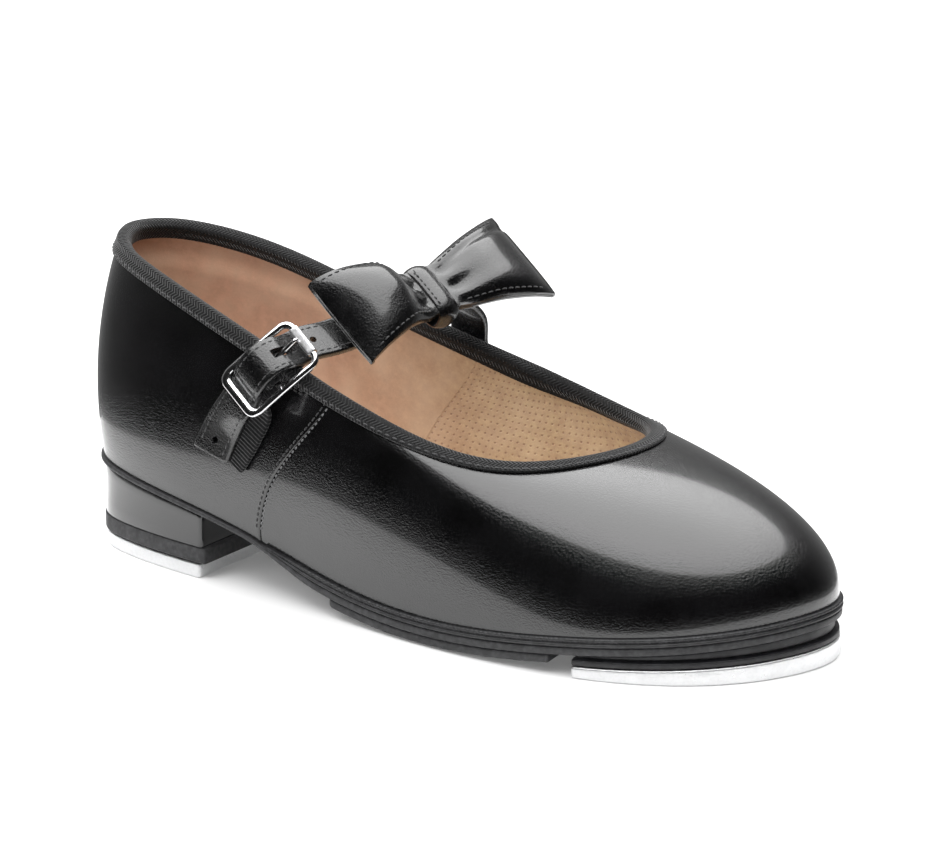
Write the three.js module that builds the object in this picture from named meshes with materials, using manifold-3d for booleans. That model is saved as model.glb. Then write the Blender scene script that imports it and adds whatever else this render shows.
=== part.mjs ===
// Child's Mary Jane tap shoe, right foot, millimetres, +Z up, toe towards +X, buckle side towards -Y.
// The ground is z = 0 and the origin is the middle of the heel tap's ground face.
import * as THREE from 'three';
import { mergeVertices } from 'three/addons/utils/BufferGeometryUtils.js';
import Module from 'manifold-3d';

const wasm = await Module();
wasm.setup();

// ---------------------------------------------------------------- driving dimensions
const HEEL_TAP_CENTRE = 20;      // from the back of the heel to the origin
const GAP = 0.2;                 // clearance between flat bonded layers
const WALL_GAP = 0.3;            // clearance between curved layers of the wall
const RIM_GAP = 0.35;            // clearance under the rim tape
const UPPER = 1.0;               // upper material
const LINING = 0.6;
const STIFFENER = 0.7;           // heel counter and toe puff
const BINDING = 0.6;             // ribbed tape folded over the top edge
const BINDING_DEPTH = 4;         // how far the tape reaches down each side
const LASTING_MARGIN = 8;        // upper turned in under the insole board
const INSOLE_BOARD = 1.8;
const SOCK = 0.8;
const WELT = 1.9;
const WELT_PROUD = 0.9;          // how far the welt stands out past the upper
const OUTSOLE = 1.6;
const OUTSOLE_AT_HEEL = 1.0;
const HALF_SOLE = 1.8;
const HEEL_BREAST = 41.5;        // front face of the heel, from the back of the heel
const LIFT_TOP = 6.8;
const LIFT_BOTTOM = 3.5;
const HEEL_TAP = 3.3;
const TOE_TAP_REAR = 141;
const TOE_TAP = 2.4;             // toe tap thickness at its rear edge
const TOE_TAP_SLOPE = 0.045;     // extra thickness per millimetre forward
const TAP_BOARD = 1.3;
const HALF_SOLE_REAR = 80;
const HALF_SOLE_FRONT = 136;
const STRAP_WIDTH = 8.6;
const STRAP = 1.8;
const ELASTIC_WIDTH = 7.8;
const ELASTIC = 1.0;
const WIRE = 0.7;                // radius of the buckle wire
const BUCKLE_HALF_LENGTH = 8.9;
const BUCKLE_FRONT = 9.65;           // front wire's distance ahead of the centre bar
const BUCKLE_ASIDE = 0.45;           // frame's middle, forward of the strap's middle line
const BUCKLE_HALF_WIDTH = 5.75;
const BOW_HALF_LENGTH = 25.5;
const BOW_HALF_WIDTH = 11.5;
const BOW_WAIST = 5.2;

// Edge where the upper meets the sole, seen from above: heel back, outer side, toe, inner side.
const FEATHER_LINE = [
  [1, -3.5], [6, -14.5], [11, -20], [28, -24.5], [47, -26.5], [67, -28.5], [89, -32.5], [110, -34.8],
  [130, -34.8], [147.5, -32.2], [162.5, -25.5], [174.5, -14], [181, 2.5], [177.5, 13], [168, 21],
  [153.5, 27.5], [133, 31], [114, 29], [95, 24], [72, 21.5], [50, 21.5], [28, 22.5], [11, 18.5], [0, 10],
];
// Rim of the foot opening, seen from above, in the same order.
const TOP_LINE = [
  [3.5, -2.5], [8, -11], [22.5, -17.5], [39.5, -22], [59.5, -25.2], [80, -28], [100, -28.5], [118, -23],
  [131, -7], [133.5, 10], [123.5, 23.5], [103, 26.5], [82, 22], [60, 19], [40, 19], [22, 17.5], [7.5, 12],
  [3, 3],
];
// Heights along the shoe: [distance from the heel back, height].
const SOLE_HEIGHTS = [[0, 21], [20, 18.6], [40, 16], [60, 12.2], [80, 8.2], [100, 6.4], [120, 6.9],
  [140, 8.7], [160, 10.5], [184, 13]];
const RIM_HEIGHTS = [[0, 67.5], [30, 62], [60, 53.8], [90, 44.8], [120, 38], [132, 38.3]];
// Wall fullness from heel (0) to toe (1): [place, sideways exponent, upward exponent, outward bulge].
const FULLNESS = [[0, 2, 2, 1.7], [0.25, 2, 2.1, 1.9], [0.5, 2.8, 2.8, 1.6], [0.75, 1.8, 1.7, 0.2],
  [1, 2.1, 2, 1]];
const WALL_SWEEP = 0.4 * Math.PI;  // how far round its quarter curve the wall goes before the rim
const REAR_SPREAD = 1.45;        // rim stations run forward faster than sole stations near the heel

// ---------------------------------------------------------------- curves
const vector = (p) => new THREE.Vector3(...p);
const clamp = (x, low, high) => Math.min(high, Math.max(low, x));
const mix = (a, b, t) => a + (b - a) * t;
const smooth = (from, to, x) => {
  const t = clamp((x - from) / (to - from), 0, 1);
  return t * t * (3 - 2 * t);
};

/** Natural cubic spline through [x, y] pairs, level beyond its ends. */
function naturalSpline(pairs) {
  const n = pairs.length;
  const x = pairs.map((p) => p[0]);
  const y = pairs.map((p) => p[1]);
  const curve = new Array(n).fill(0);
  const c = new Array(n).fill(0);
  const d = new Array(n).fill(0);
  for (let i = 1; i < n - 1; i += 1) {
    const before = x[i] - x[i - 1];
    const after = x[i + 1] - x[i];
    const pivot = 2 * (before + after) - before * c[i - 1];
    const bend = 6 * ((y[i + 1] - y[i]) / after - (y[i] - y[i - 1]) / before);
    c[i] = after / pivot;
    d[i] = (bend - before * d[i - 1]) / pivot;
  }
  for (let i = n - 2; i > 0; i -= 1) curve[i] = d[i] - c[i] * curve[i + 1];
  return (at) => {
    const t = clamp(at, x[0], x[n - 1]);
    let i = 0;
    while (i < n - 2 && t > x[i + 1]) i += 1;
    const h = x[i + 1] - x[i];
    const a = x[i + 1] - t;
    const b = t - x[i];
    return (curve[i] * a ** 3 + curve[i + 1] * b ** 3) / (6 * h)
      + (y[i] / h - curve[i] * h / 6) * a + (y[i + 1] / h - curve[i + 1] * h / 6) * b;
  };
}

/** Points along the closed uniform cubic B-spline of some control points. */
function closedBSpline(control, count) {
  const n = control.length;
  const points = [];
  for (let k = 0; k < count; k += 1) {
    const s = (k / count) * n;
    const i = Math.floor(s);
    const t = s - i;
    const weights = [(1 - t) ** 3, 3 * t ** 3 - 6 * t ** 2 + 4, -3 * t ** 3 + 3 * t ** 2 + 3 * t + 1, t ** 3];
    const point = [0, 0];
    weights.forEach((w, j) => {
      const q = control[(i + j - 1 + n) % n];
      point[0] += (w * q[0]) / 6;
      point[1] += (w * q[1]) / 6;
    });
    points.push(point);
  }
  return points;
}

/** The two sides of a closed outline, each from heel to toe, with running length. */
function splitSides(points) {
  const n = points.length;
  let heel = 0;
  let toe = 0;
  points.forEach((p, i) => {
    if (p[0] < points[heel][0]) heel = i;
    if (p[0] > points[toe][0]) toe = i;
  });
  const walk = (from, to, step) => {
    const side = [points[from]];
    for (let i = from; i !== to;) {
      i = (i + step + n) % n;
      side.push(points[i]);
    }
    return side;
  };
  const withLength = (side) => {
    const length = [0];
    for (let i = 1; i < side.length; i += 1) {
      length.push(length[i - 1] + Math.hypot(side[i][0] - side[i - 1][0], side[i][1] - side[i - 1][1]));
    }
    return { points: side, length };
  };
  return { outer: withLength(walk(heel, toe, 1)), inner: withLength(walk(heel, toe, -1)) };
}

/** Value at `at` in a rising list of keys, by straight interpolation between points. */
function lookUp(keys, values, at) {
  let low = 0;
  let high = keys.length - 1;
  while (high - low > 1) {
    const middle = (low + high) >> 1;
    if (keys[middle] <= at) low = middle;
    else high = middle;
  }
  const t = clamp((at - keys[low]) / (keys[high] - keys[low] || 1), 0, 1);
  return values[low].map((v, k) => mix(v, values[high][k], t));
}

const soleHeight = naturalSpline(SOLE_HEIGHTS);
const rimHeight = naturalSpline(RIM_HEIGHTS);
const sideways = naturalSpline(FULLNESS.map((f) => [f[0], f[1]]));
const upwards = naturalSpline(FULLNESS.map((f) => [f[0], f[2]]));
const bulge = naturalSpline(FULLNESS.map((f) => [f[0], f[3]]));

const feather = splitSides(closedBSpline(FEATHER_LINE, 1600));
const rim = splitSides(closedBSpline(TOP_LINE, 1600));
const extent = (sides) => [sides.outer.points[0][0], sides.outer.points.at(-1)[0]];
const [featherBack, featherToe] = extent(feather);
const [rimBack, rimFront] = extent(rim);
for (const side of [rim.outer, rim.inner]) {
  const turnOf = (x) => Math.acos(clamp(1 - (2 * (x - rimBack)) / (rimFront - rimBack), -1, 1));
  side.angle = side.points.map((p) => turnOf(p[0]));
}

/**
 * A station round the shoe. u runs 0 to 1 from heel to toe on the outer side and 1 to 2 back on the
 * inner side. It gives the feather-line point, its outward direction and the wall from sole to rim.
 */
const stations = new Map();
function station(u) {
  const turn = ((u % 2) + 2) % 2;
  const key = turn.toFixed(5);
  if (stations.has(key)) return stations.get(key);
  const name = turn <= 1 ? 'outer' : 'inner';
  const share = turn <= 1 ? turn : 2 - turn;
  const side = feather[name];
  const total = side.length.at(-1);
  const foot = lookUp(side.length, side.points, share * total);
  const ahead = lookUp(side.length, side.points, Math.min(share * total + 0.4, total));
  const behind = lookUp(side.length, side.points, Math.max(share * total - 0.4, 0));
  const run = Math.hypot(ahead[0] - behind[0], ahead[1] - behind[1]);
  const sign = name === 'outer' ? 1 : -1;
  let out = [(sign * (ahead[1] - behind[1])) / run, (-sign * (ahead[0] - behind[0])) / run];
  if (share < 1e-6) out = [-1, 0];
  if (share > 1 - 1e-6) out = [1, 0];
  const place = clamp((foot[0] - featherBack) / (featherToe - featherBack), 0, 1);
  const rimPlace = clamp(REAR_SPREAD * place + (1 - REAR_SPREAD) * place * place, 0, 1);
  const top = lookUp(rim[name].angle, rim[name].points, Math.acos(clamp(1 - 2 * rimPlace, -1, 1)));
  const low = soleHeight(foot[0]);
  const high = rimHeight(top[0]);
  const wall = [];
  const length = [0];
  const steps = 80;
  const leanPower = 2 / sideways(place);
  const risePower = 2 / upwards(place);
  for (let k = 0; k <= steps; k += 1) {
    const angle = (k / steps) * WALL_SWEEP;
    const lean = (1 - Math.cos(angle) ** leanPower) / (1 - Math.cos(WALL_SWEEP) ** leanPower);
    const rise = (Math.sin(angle) / Math.sin(WALL_SWEEP)) ** risePower;
    const push = bulge(place) * 4 * rise * (1 - rise);
    wall.push([
      mix(foot[0], top[0], lean) + out[0] * push,
      mix(foot[1], top[1], lean) + out[1] * push,
      mix(low, high, rise),
    ]);
    if (k > 0) length.push(length[k - 1] + Math.hypot(...wall[k].map((v, i) => v - wall[k - 1][i])));
  }
  const made = { foot, out, wall, length, height: length.at(-1) };
  stations.set(key, made);
  return made;
}

/** Point of the upper's outer face. v runs 0 at the sole to 1 at the rim, by length. */
function face(u, v) {
  const s = station(u);
  return lookUp(s.length, s.wall, clamp(v, 0, 1) * s.height);
}

/** Outward normal of the upper's face. */
function faceNormal(u, v) {
  const along = new THREE.Vector3(...face(u + 0.006, v)).sub(new THREE.Vector3(...face(u - 0.006, v)));
  const low = Math.min(v, 0.985);
  const up = new THREE.Vector3(...face(u, low + 0.015));
  up.sub(new THREE.Vector3(...face(u, Math.max(low - 0.015, 0))));
  return along.cross(up).normalize();
}

/** Point at a distance outside (+) or inside (-) the upper's outer face. */
function offFace(u, v, distance) {
  const n = faceNormal(u, v);
  const p = face(u, v);
  return [p[0] + n.x * distance, p[1] + n.y * distance, p[2] + n.z * distance];
}

// ---------------------------------------------------------------- solids
/** Closed geometry from triangles given as point triples, welded, without slivers of no area. */
function fromTriangles(triangles) {
  const positions = [];
  const seen = new Map();
  const index = [];
  const id = (p) => {
    const key = p.map((v) => Math.round(v * 1e4)).join();
    if (!seen.has(key)) {
      seen.set(key, positions.length / 3);
      positions.push(...p);
    }
    return seen.get(key);
  };
  let volume = 0;
  for (const [a, b, c] of triangles) {
    const ids = [id(a), id(b), id(c)];
    if (new Set(ids).size < 3) continue;
    index.push(...ids);
    volume += a[0] * (b[1] * c[2] - b[2] * c[1]) - a[1] * (b[0] * c[2] - b[2] * c[0])
      + a[2] * (b[0] * c[1] - b[1] * c[0]);
  }
  if (volume < 0) index.reverse();
  const geometry = new THREE.BufferGeometry();
  geometry.setAttribute('position', new THREE.Float32BufferAttribute(positions, 3));
  geometry.setIndex(index);
  return geometry;
}

const quad = (a, b, c, d) => [[a, b, c], [a, c, d]];

/** Solid between two matching grids of points; grids may close on themselves along the first index. */
function between(outside, inside, closed = false, openFirst = false) {
  const rows = outside.length;
  const last = outside[0].length - 1;
  const triangles = [];
  const spans = closed ? rows : rows - 1;
  for (let i = 0; i < spans; i += 1) {
    const n = (i + 1) % rows;
    for (let j = 0; j < last; j += 1) {
      triangles.push(...quad(outside[i][j], outside[n][j], outside[n][j + 1], outside[i][j + 1]));
      triangles.push(...quad(inside[i][j], inside[i][j + 1], inside[n][j + 1], inside[n][j]));
    }
    if (!openFirst) triangles.push(...quad(outside[i][0], inside[i][0], inside[n][0], outside[n][0]));
    triangles.push(...quad(outside[i][last], outside[n][last], inside[n][last], inside[i][last]));
  }
  if (!closed) {
    for (let j = 0; j < last; j += 1) {
      triangles.push(...quad(outside[0][j], outside[0][j + 1], inside[0][j + 1], inside[0][j]));
      const e = rows - 1;
      triangles.push(...quad(outside[e][j], inside[e][j], inside[e][j + 1], outside[e][j + 1]));
    }
  }
  return fromTriangles(triangles);
}

/** Tube with its own section at every stop of a path; closed rings join up, open ones get flat ends. */
function skin(sections, closed = false) {
  const triangles = [];
  const count = sections.length;
  const sides = sections[0].length;
  for (let i = 0; i < (closed ? count : count - 1); i += 1) {
    const n = (i + 1) % count;
    for (let j = 0; j < sides; j += 1) {
      const k = (j + 1) % sides;
      triangles.push(...quad(sections[i][j], sections[n][j], sections[n][k], sections[i][k]));
    }
  }
  if (!closed) {
    for (let j = 1; j < sides - 1; j += 1) {
      triangles.push([sections[0][0], sections[0][j], sections[0][j + 1]]);
      triangles.push([sections[count - 1][0], sections[count - 1][j + 1], sections[count - 1][j]]);
    }
  }
  return fromTriangles(triangles);
}

function toManifold(geometry) {
  const bare = geometry.clone();
  bare.deleteAttribute('normal');
  bare.deleteAttribute('uv');
  const welded = mergeVertices(bare, 1e-4);
  return new wasm.Manifold(new wasm.Mesh({
    numProp: 3,
    vertProperties: new Float32Array(welded.attributes.position.array),
    triVerts: new Uint32Array(welded.index.array),
  }));
}

function fromManifold(solid) {
  const mesh = solid.getMesh();
  const geometry = new THREE.BufferGeometry();
  geometry.setAttribute('position', new THREE.BufferAttribute(new Float32Array(mesh.vertProperties), 3));
  geometry.setIndex(new THREE.BufferAttribute(new Uint32Array(mesh.triVerts), 1));
  return geometry;
}

const subtract = (body, tools) => fromManifold(
  tools.reduce((solid, tool) => solid.subtract(toManifold(tool)), toManifold(body)),
);
const intersect = (body, tool) => fromManifold(toManifold(body).intersect(toManifold(tool)));
const unite = (a, b) => fromManifold(toManifold(a).add(toManifold(b)));

/** Upright block over a plan outline of [x, y] points. */
function prism(points, low = -5, high = 90) {
  const shape = new THREE.Shape(points.map((p) => new THREE.Vector2(...p)));
  const geometry = new THREE.ExtrudeGeometry(shape, { depth: high - low, bevelEnabled: false });
  return geometry.translate(0, 0, low);
}

// ---------------------------------------------------------------- pieces of the upper
const BINDING_STATIONS = 72;
const VAMP_COLUMNS = 40;
const QUARTER_COLUMNS = 16;
const seam = (v) => mix(0.345, 0.452, v ** 1.5) + 0.016 * smooth(0.55, 0.9, v);   // vamp and quarter seam leans forward as it rises
const across = (count, from, to) => Array.from({ length: count + 1 }, (_, i) => mix(from, to, i / count));
const WALL_STEPS = [0, 0.12, 0.25, 0.38, 0.5, 0.62, 0.75, 0.87, 0.94, 1];

/** Part of the upper between two seams, with the margin that turns in under the foot. */
function upperPanel(from, to, columns) {
  const outside = [];
  const inside = [];
  for (let i = 0; i <= columns; i += 1) {
    const at = (v) => mix(from(v), to(v), i / columns);
    const s = station(at(0));
    const low = face(at(0), 0);
    const turn = (inset, lift) => {
      const x = low[0] - s.out[0] * inset;
      return [x, low[1] - s.out[1] * inset, soleHeight(x) + lift];
    };
    outside.push([turn(LASTING_MARGIN, 0), ...WALL_STEPS.map((v) => face(at(v), v))]);
    inside.push([turn(LASTING_MARGIN, UPPER), turn(UPPER, UPPER),
      ...WALL_STEPS.slice(1).map((v) => offFace(at(v), v, -UPPER))]);
  }
  return between(outside, inside);
}

const SEAM_GAP = 0.0012;
const vamp = upperPanel((v) => seam(v) + SEAM_GAP, (v) => 2 - seam(v) - SEAM_GAP, VAMP_COLUMNS);
const quarterLateral = upperPanel(() => SEAM_GAP, (v) => seam(v) - SEAM_GAP, QUARTER_COLUMNS);
const quarterMedial = upperPanel((v) => 2 - seam(v) + SEAM_GAP, () => 2 - SEAM_GAP, QUARTER_COLUMNS);

// Stiffeners sit between upper and lining; the lining steps inwards round them. All of them share
// the upper's columns and rows, so that neighbouring layers stay parallel.
const COUNTER_COLUMNS = 9;
const PUFF_COLUMNS = 8;
const STIFFENER_TOP = 0.75;
const liningDepth0 = UPPER + WALL_GAP;
const stepIn = STIFFENER + WALL_GAP;

/** Shell inside the upper: `count` columns either side of the middle of a run of `columns`. */
function innerShell(from, to, columns, count, low, high, depth, thickness) {
  const rows = [low, ...WALL_STEPS.filter((v) => v > low + 0.02 && v < high - 0.02), high];
  const outside = [];
  const inside = [];
  for (let i = columns / 2 - count; i <= columns / 2 + count; i += 1) {
    const at = (v) => mix(from(v), to(v), i / columns);
    const deep = (v) => depth(Math.abs(i - columns / 2), v);
    outside.push(rows.map((v) => offFace(at(v), v, -deep(v))));
    inside.push(rows.map((v) => offFace(at(v), v, -deep(v) - thickness)));
  }
  return between(outside, inside);
}

const LINING_LOW = 0.035;
const LINING_HIGH = 0.992;
const below = (v) => 1 - smooth(STIFFENER_TOP + 0.01, 0.86, v);
const liningRound = (edge) => (column, v) => (
  liningDepth0 + stepIn * below(v) * (1 - smooth(edge, edge + 3, column))
);
const vampRun = [(v) => seam(v) + SEAM_GAP, (v) => 2 - seam(v) - SEAM_GAP, VAMP_COLUMNS];
const heelRun = [(v) => SEAM_GAP - seam(v), (v) => seam(v) - SEAM_GAP, QUARTER_COLUMNS * 2];
const vampLining = innerShell(...vampRun, VAMP_COLUMNS / 2, LINING_LOW, LINING_HIGH, liningRound(PUFF_COLUMNS),
  LINING);
const quarterLining = innerShell(...heelRun, QUARTER_COLUMNS, LINING_LOW, LINING_HIGH,
  liningRound(COUNTER_COLUMNS), LINING);
const heelCounter = innerShell(...heelRun, COUNTER_COLUMNS, 0.12, STIFFENER_TOP, () => liningDepth0, STIFFENER);
const toePuff = innerShell(...vampRun, PUFF_COLUMNS, 0.12, STIFFENER_TOP, () => liningDepth0, STIFFENER);

/** Places on the wall at equal steps down from the rim, going square to the rim. */
const RIM_STEP = 0.5;
function descend(u) {
  const e = 0.004;
  const rimAlong = vector(face(u + e, 1)).sub(vector(face(u - e, 1))).normalize();
  const path = [[u, 1]];
  while (path.length * RIM_STEP <= BINDING_DEPTH + RIM_STEP) {
    const [a, b] = path.at(-1);
    const along = vector(face(a + e, b)).sub(vector(face(a - e, b))).divideScalar(2 * e);
    const up = vector(face(a, b)).sub(vector(face(a, b - e))).divideScalar(e);
    const down = rimAlong.clone().cross(along.clone().cross(up)).normalize();
    const spread = along.dot(along) * up.dot(up) - along.dot(up) ** 2;
    const shift = (down.dot(along) * up.dot(up) - down.dot(up) * along.dot(up)) / spread;
    const drop = (down.dot(up) * along.dot(along) - down.dot(along) * along.dot(up)) / spread;
    path.push([a + shift * RIM_STEP, b + drop * RIM_STEP]);
  }
  return path;
}

/** Point measured square to the rim: `down` the wall from it and `out` from the upper's face. */
function offRim(u, down, out) {
  const path = descend(u);
  if (down >= 0) {
    const [a, b] = lookUp(path.map((_, i) => i * RIM_STEP), path, down);
    return offFace(a, b, out);
  }
  const top = vector(face(u, 1));
  const below = vector(face(...path[1]));
  const lift = top.clone().sub(below).normalize();
  return top.addScaledVector(lift, -down).addScaledVector(faceNormal(u, 1), out).toArray();
}

/** Ribbed tape folded over the rim of the upper and its lining. */
function toplineBinding() {
  const inner = liningDepth0 + LINING + RIM_GAP;
  const outer = RIM_GAP;
  const outline = [[BINDING_DEPTH, outer + BINDING], [BINDING_DEPTH / 2, outer + BINDING],
    [0.2, outer + BINDING], [-0.9, 0], [-0.9, -inner + 0.3], [0.2, -inner - BINDING],
    [BINDING_DEPTH / 2, -inner - BINDING], [BINDING_DEPTH, -inner - BINDING], [BINDING_DEPTH, -inner],
    [BINDING_DEPTH / 2, -inner], [-0.2, -inner], [-0.2, outer], [BINDING_DEPTH / 2, outer],
    [BINDING_DEPTH, outer]];
  const sections = [];
  for (let i = 0; i < BINDING_STATIONS; i += 1) {
    const u = (2 * i) / BINDING_STATIONS;
    sections.push(outline.map(([down, out]) => offRim(u, down, out)));
  }
  return skin(sections, true);
}

// ---------------------------------------------------------------- pieces of the sole
const weltShare = (x) => smooth(52, 76, x);
const weltTop = (x) => soleHeight(x) - GAP;
const soleTop = (x) => weltTop(x) - (WELT + GAP) * weltShare(x);
const soleThickness = (x) => mix(OUTSOLE_AT_HEEL, OUTSOLE, weltShare(x));
const soleBottom = (x) => soleTop(x) - soleThickness(x);

/** Plate following the foot outline, `inset` inside the feather line, between two heights. */
function plate(inset, top, bottom, hole = 0) {
  const count = 60;
  const rings = 2;
  const edge = [];
  for (let i = 0; i < count; i += 1) {
    const s = station((2 * i) / count);
    edge.push([s.foot, [s.foot[0] - s.out[0] * inset, s.foot[1] - s.out[1] * inset], s.out]);
  }
  const grids = [[], []];
  for (let i = 0; i < count; i += 1) {
    const mirror = edge[(count - i) % count][1];
    const middle = [clamp((edge[i][1][0] + mirror[0]) / 2, 16, 150), (edge[i][1][1] + mirror[1]) / 2];
    if (middle[0] === 16 || middle[0] === 150) middle[1] = middle[0] === 16 ? -0.5 : 1.5;
    const [foot, rimPoint, out] = edge[i];
    const core = hole > 0 ? [foot[0] - out[0] * hole, foot[1] - out[1] * hole] : middle;
    [top, bottom].forEach((height, k) => {
      grids[k].push(across(rings, 0, 1).map((r) => {
        const x = mix(core[0], rimPoint[0], r);
        return [x, mix(core[1], rimPoint[1], r), height(x)];
      }));
    });
  }
  return between(grids[0], grids[1], true, hole === 0);
}

const level = (z) => () => z;
const box = (x0, x1, y0, y1) => prism([[x0, y0], [x1, y0], [x1, y1], [x0, y1]]);

/** Plan region ahead of (or behind) a rounded cross edge. */
function region(rear, front, rearBow = 0, frontBow = 0) {
  const steps = 16;
  const edge = (x, bow) => Array.from({ length: steps + 1 }, (_, i) => {
    const y = mix(-40, 40, i / steps);
    return [x - bow * (1 - (y / 34) ** 2), y];
  });
  return prism([...edge(rear, rearBow), ...edge(front, frontBow).reverse()]);
}

const tapTop = (x) => TOE_TAP + (x - TOE_TAP_REAR) * TOE_TAP_SLOPE;
const boardBottom = (x) => tapTop(x) + GAP;
const boardTop = (x) => boardBottom(x) + TAP_BOARD;

const insoleLow = (x) => soleHeight(x) + UPPER + GAP;
const insoleBoard = plate(3.6, (x) => insoleLow(x) + INSOLE_BOARD, insoleLow);
const sockLow = (x) => insoleLow(x) + INSOLE_BOARD + GAP;
const sockLiner = plate(4.2, (x) => sockLow(x) + SOCK, sockLow);
const shank = intersect(plate(3, (x) => soleHeight(x) + UPPER, soleHeight), box(12, 94, -5, 5));
const bottomFiller = intersect(plate(LASTING_MARGIN + 0.5, (x) => soleHeight(x) + UPPER, (x) => soleTop(x) + GAP),
  box(96, 190, -50, 50));
const welt = intersect(
  plate(-WELT_PROUD, weltTop, (x) => soleTop(x) + GAP, LASTING_MARGIN - 1),
  box(60, 200, -60, 60),
);
const outsole = plate(-0.7, soleTop, soleBottom);
const halfSole = intersect(plate(-0.3, (x) => soleBottom(x) - GAP, (x) => soleBottom(x) - GAP - HALF_SOLE),
  region(HALF_SOLE_REAR, HALF_SOLE_FRONT, 8, 3));
const toeRubber = intersect(plate(0.8, (x) => soleBottom(x) - GAP, (x) => boardTop(x) + GAP),
  region(TOE_TAP_REAR + 0.8, 200, 4));
const toeBoard = intersect(plate(-0.2, boardTop, boardBottom), region(TOE_TAP_REAR, 200, 4));
const toeTap = intersect(plate(-0.4, tapTop, level(0)), region(TOE_TAP_REAR, 200, 4));
const heelBlock = intersect(
  plate(0.2, (x) => soleBottom(x) - GAP, level(LIFT_TOP + GAP)),
  box(-5, HEEL_BREAST, -40, 40),
);
const heelLift = intersect(
  plate(0, level(LIFT_TOP), level(LIFT_BOTTOM)),
  box(-5, HEEL_BREAST + 0.8, -40, 40),
);
const heelTap = intersect(plate(0.3, level(HEEL_TAP), level(0)), region(-10, 40.5, 0, 0));

// ---------------------------------------------------------------- fasteners
/** Turned piece: head below (or above), plain body, flat ends; profile goes axis to axis. */
function turned(x, y, from, to, bodyRadius, headRadius, headHeight, flush, grow = 0) {
  const tip = Math.sign(to - from);
  const profile = [[0, from], [headRadius + grow, from], [headRadius + grow, from + tip * flush],
    [bodyRadius + grow, from + tip * (flush + headHeight)], [bodyRadius + grow, to], [0, to]];
  const points = profile.map((p) => new THREE.Vector2(p[0], p[1]));
  if (tip < 0) points.reverse();
  const geometry = new THREE.LatheGeometry(points, 12);
  return geometry.rotateX(Math.PI / 2).translate(x, y, 0);
}

const TAP_SCREWS = [[149, -19], [149, 17], [170, 1]];
const HEEL_TAP_SCREWS = [[11, 0], [32, -13], [32, 13]];
const HEEL_NAILS = [[14, 7], [14, -7], [34, 9], [34, -9]];
const fasteners = [];
TAP_SCREWS.forEach(([x, y], i) => {
  fasteners.push({ name: `toe_tap_screw_${i + 1}`, at: [x, y, 0.5, soleTop(x) + 0.8, 1.2, 2.6, 1.2, 0.3] });
});
HEEL_TAP_SCREWS.forEach(([x, y], i) => {
  fasteners.push({ name: `heel_tap_screw_${i + 1}`, at: [x, y, 0.5, 12, 1.2, 2.6, 1.2, 0.3] });
});
fasteners.push({
  name: 'heel_screw',
  at: [22, 0, insoleLow(22) + INSOLE_BOARD - 0.2, 8.6, 1.8, 3.4, 0.9, 0.3],
});
HEEL_NAILS.forEach(([x, y], i) => {
  const head = insoleLow(x) + INSOLE_BOARD - 0.2;
  fasteners.push({ name: `heel_nail_${i + 1}`, at: [x, y, head, 10.5, 0.8, 1.9, 0.3, 0.4] });
});

/** Hole for each fastener, a little larger than it and open at its head. */
function holesFor(prefixes) {
  return fasteners.filter((f) => prefixes.some((p) => f.name.startsWith(p))).map(({ at }) => {
    const [x, y, from, to, body, head, taper, flush] = at;
    const tip = Math.sign(to - from);
    return turned(x, y, from - tip * 2, to + tip * 0.25, body, head, taper, flush + 2, 0.22);
  });
}
const TOE = ['toe_tap_screw'];
const HEEL = ['heel_tap_screw', 'heel_screw', 'heel_nail'];

// ---------------------------------------------------------------- strap, elastic, buckle and bow
const BUCKLE_CENTRE = [63.11, -30.95, 51.73];
const BUCKLE_ALONG = vector([0.555, 0.529, 0.643]).normalize();
const BUCKLE_SIDE = vector([0.8, -0.15, -0.57]).projectOnPlane(BUCKLE_ALONG).normalize();
const BUCKLE_OUT = BUCKLE_SIDE.clone().cross(BUCKLE_ALONG).normalize();

/** Point in the buckle's own frame: along the strap, sideways, out from the foot. */
function inBuckle(along, side, out) {
  return vector(BUCKLE_CENTRE).addScaledVector(BUCKLE_ALONG, along).addScaledVector(BUCKLE_SIDE, side)
    .addScaledVector(BUCKLE_OUT, out).toArray();
}
const buckleBow = (along) => -0.5 * (along / BUCKLE_FRONT) ** 2;

/** Flat band along stops of [point, side direction]; smooth curve through the stops. */
function band(stops, width, thickness, steps) {
  const path = new THREE.CatmullRomCurve3(stops.map((s) => vector(s[0])), false, 'centripetal');
  const sides = new THREE.CatmullRomCurve3(stops.map((s) => vector(s[1])), false, 'centripetal');
  const sections = [];
  for (let i = 0; i <= steps; i += 1) {
    const t = i / steps;
    const point = path.getPoint(t);
    const tangent = path.getTangent(t);
    const side = sides.getPoint(t).projectOnPlane(tangent).normalize();
    const out = side.clone().cross(tangent);
    const corner = (a, b) => point.clone().addScaledVector(side, a * width / 2)
      .addScaledVector(out, b * thickness / 2).toArray();
    sections.push([corner(-1, 1), corner(1, 1), corner(1, -1), corner(-1, -1)]);
  }
  return skin(sections);
}

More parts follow.
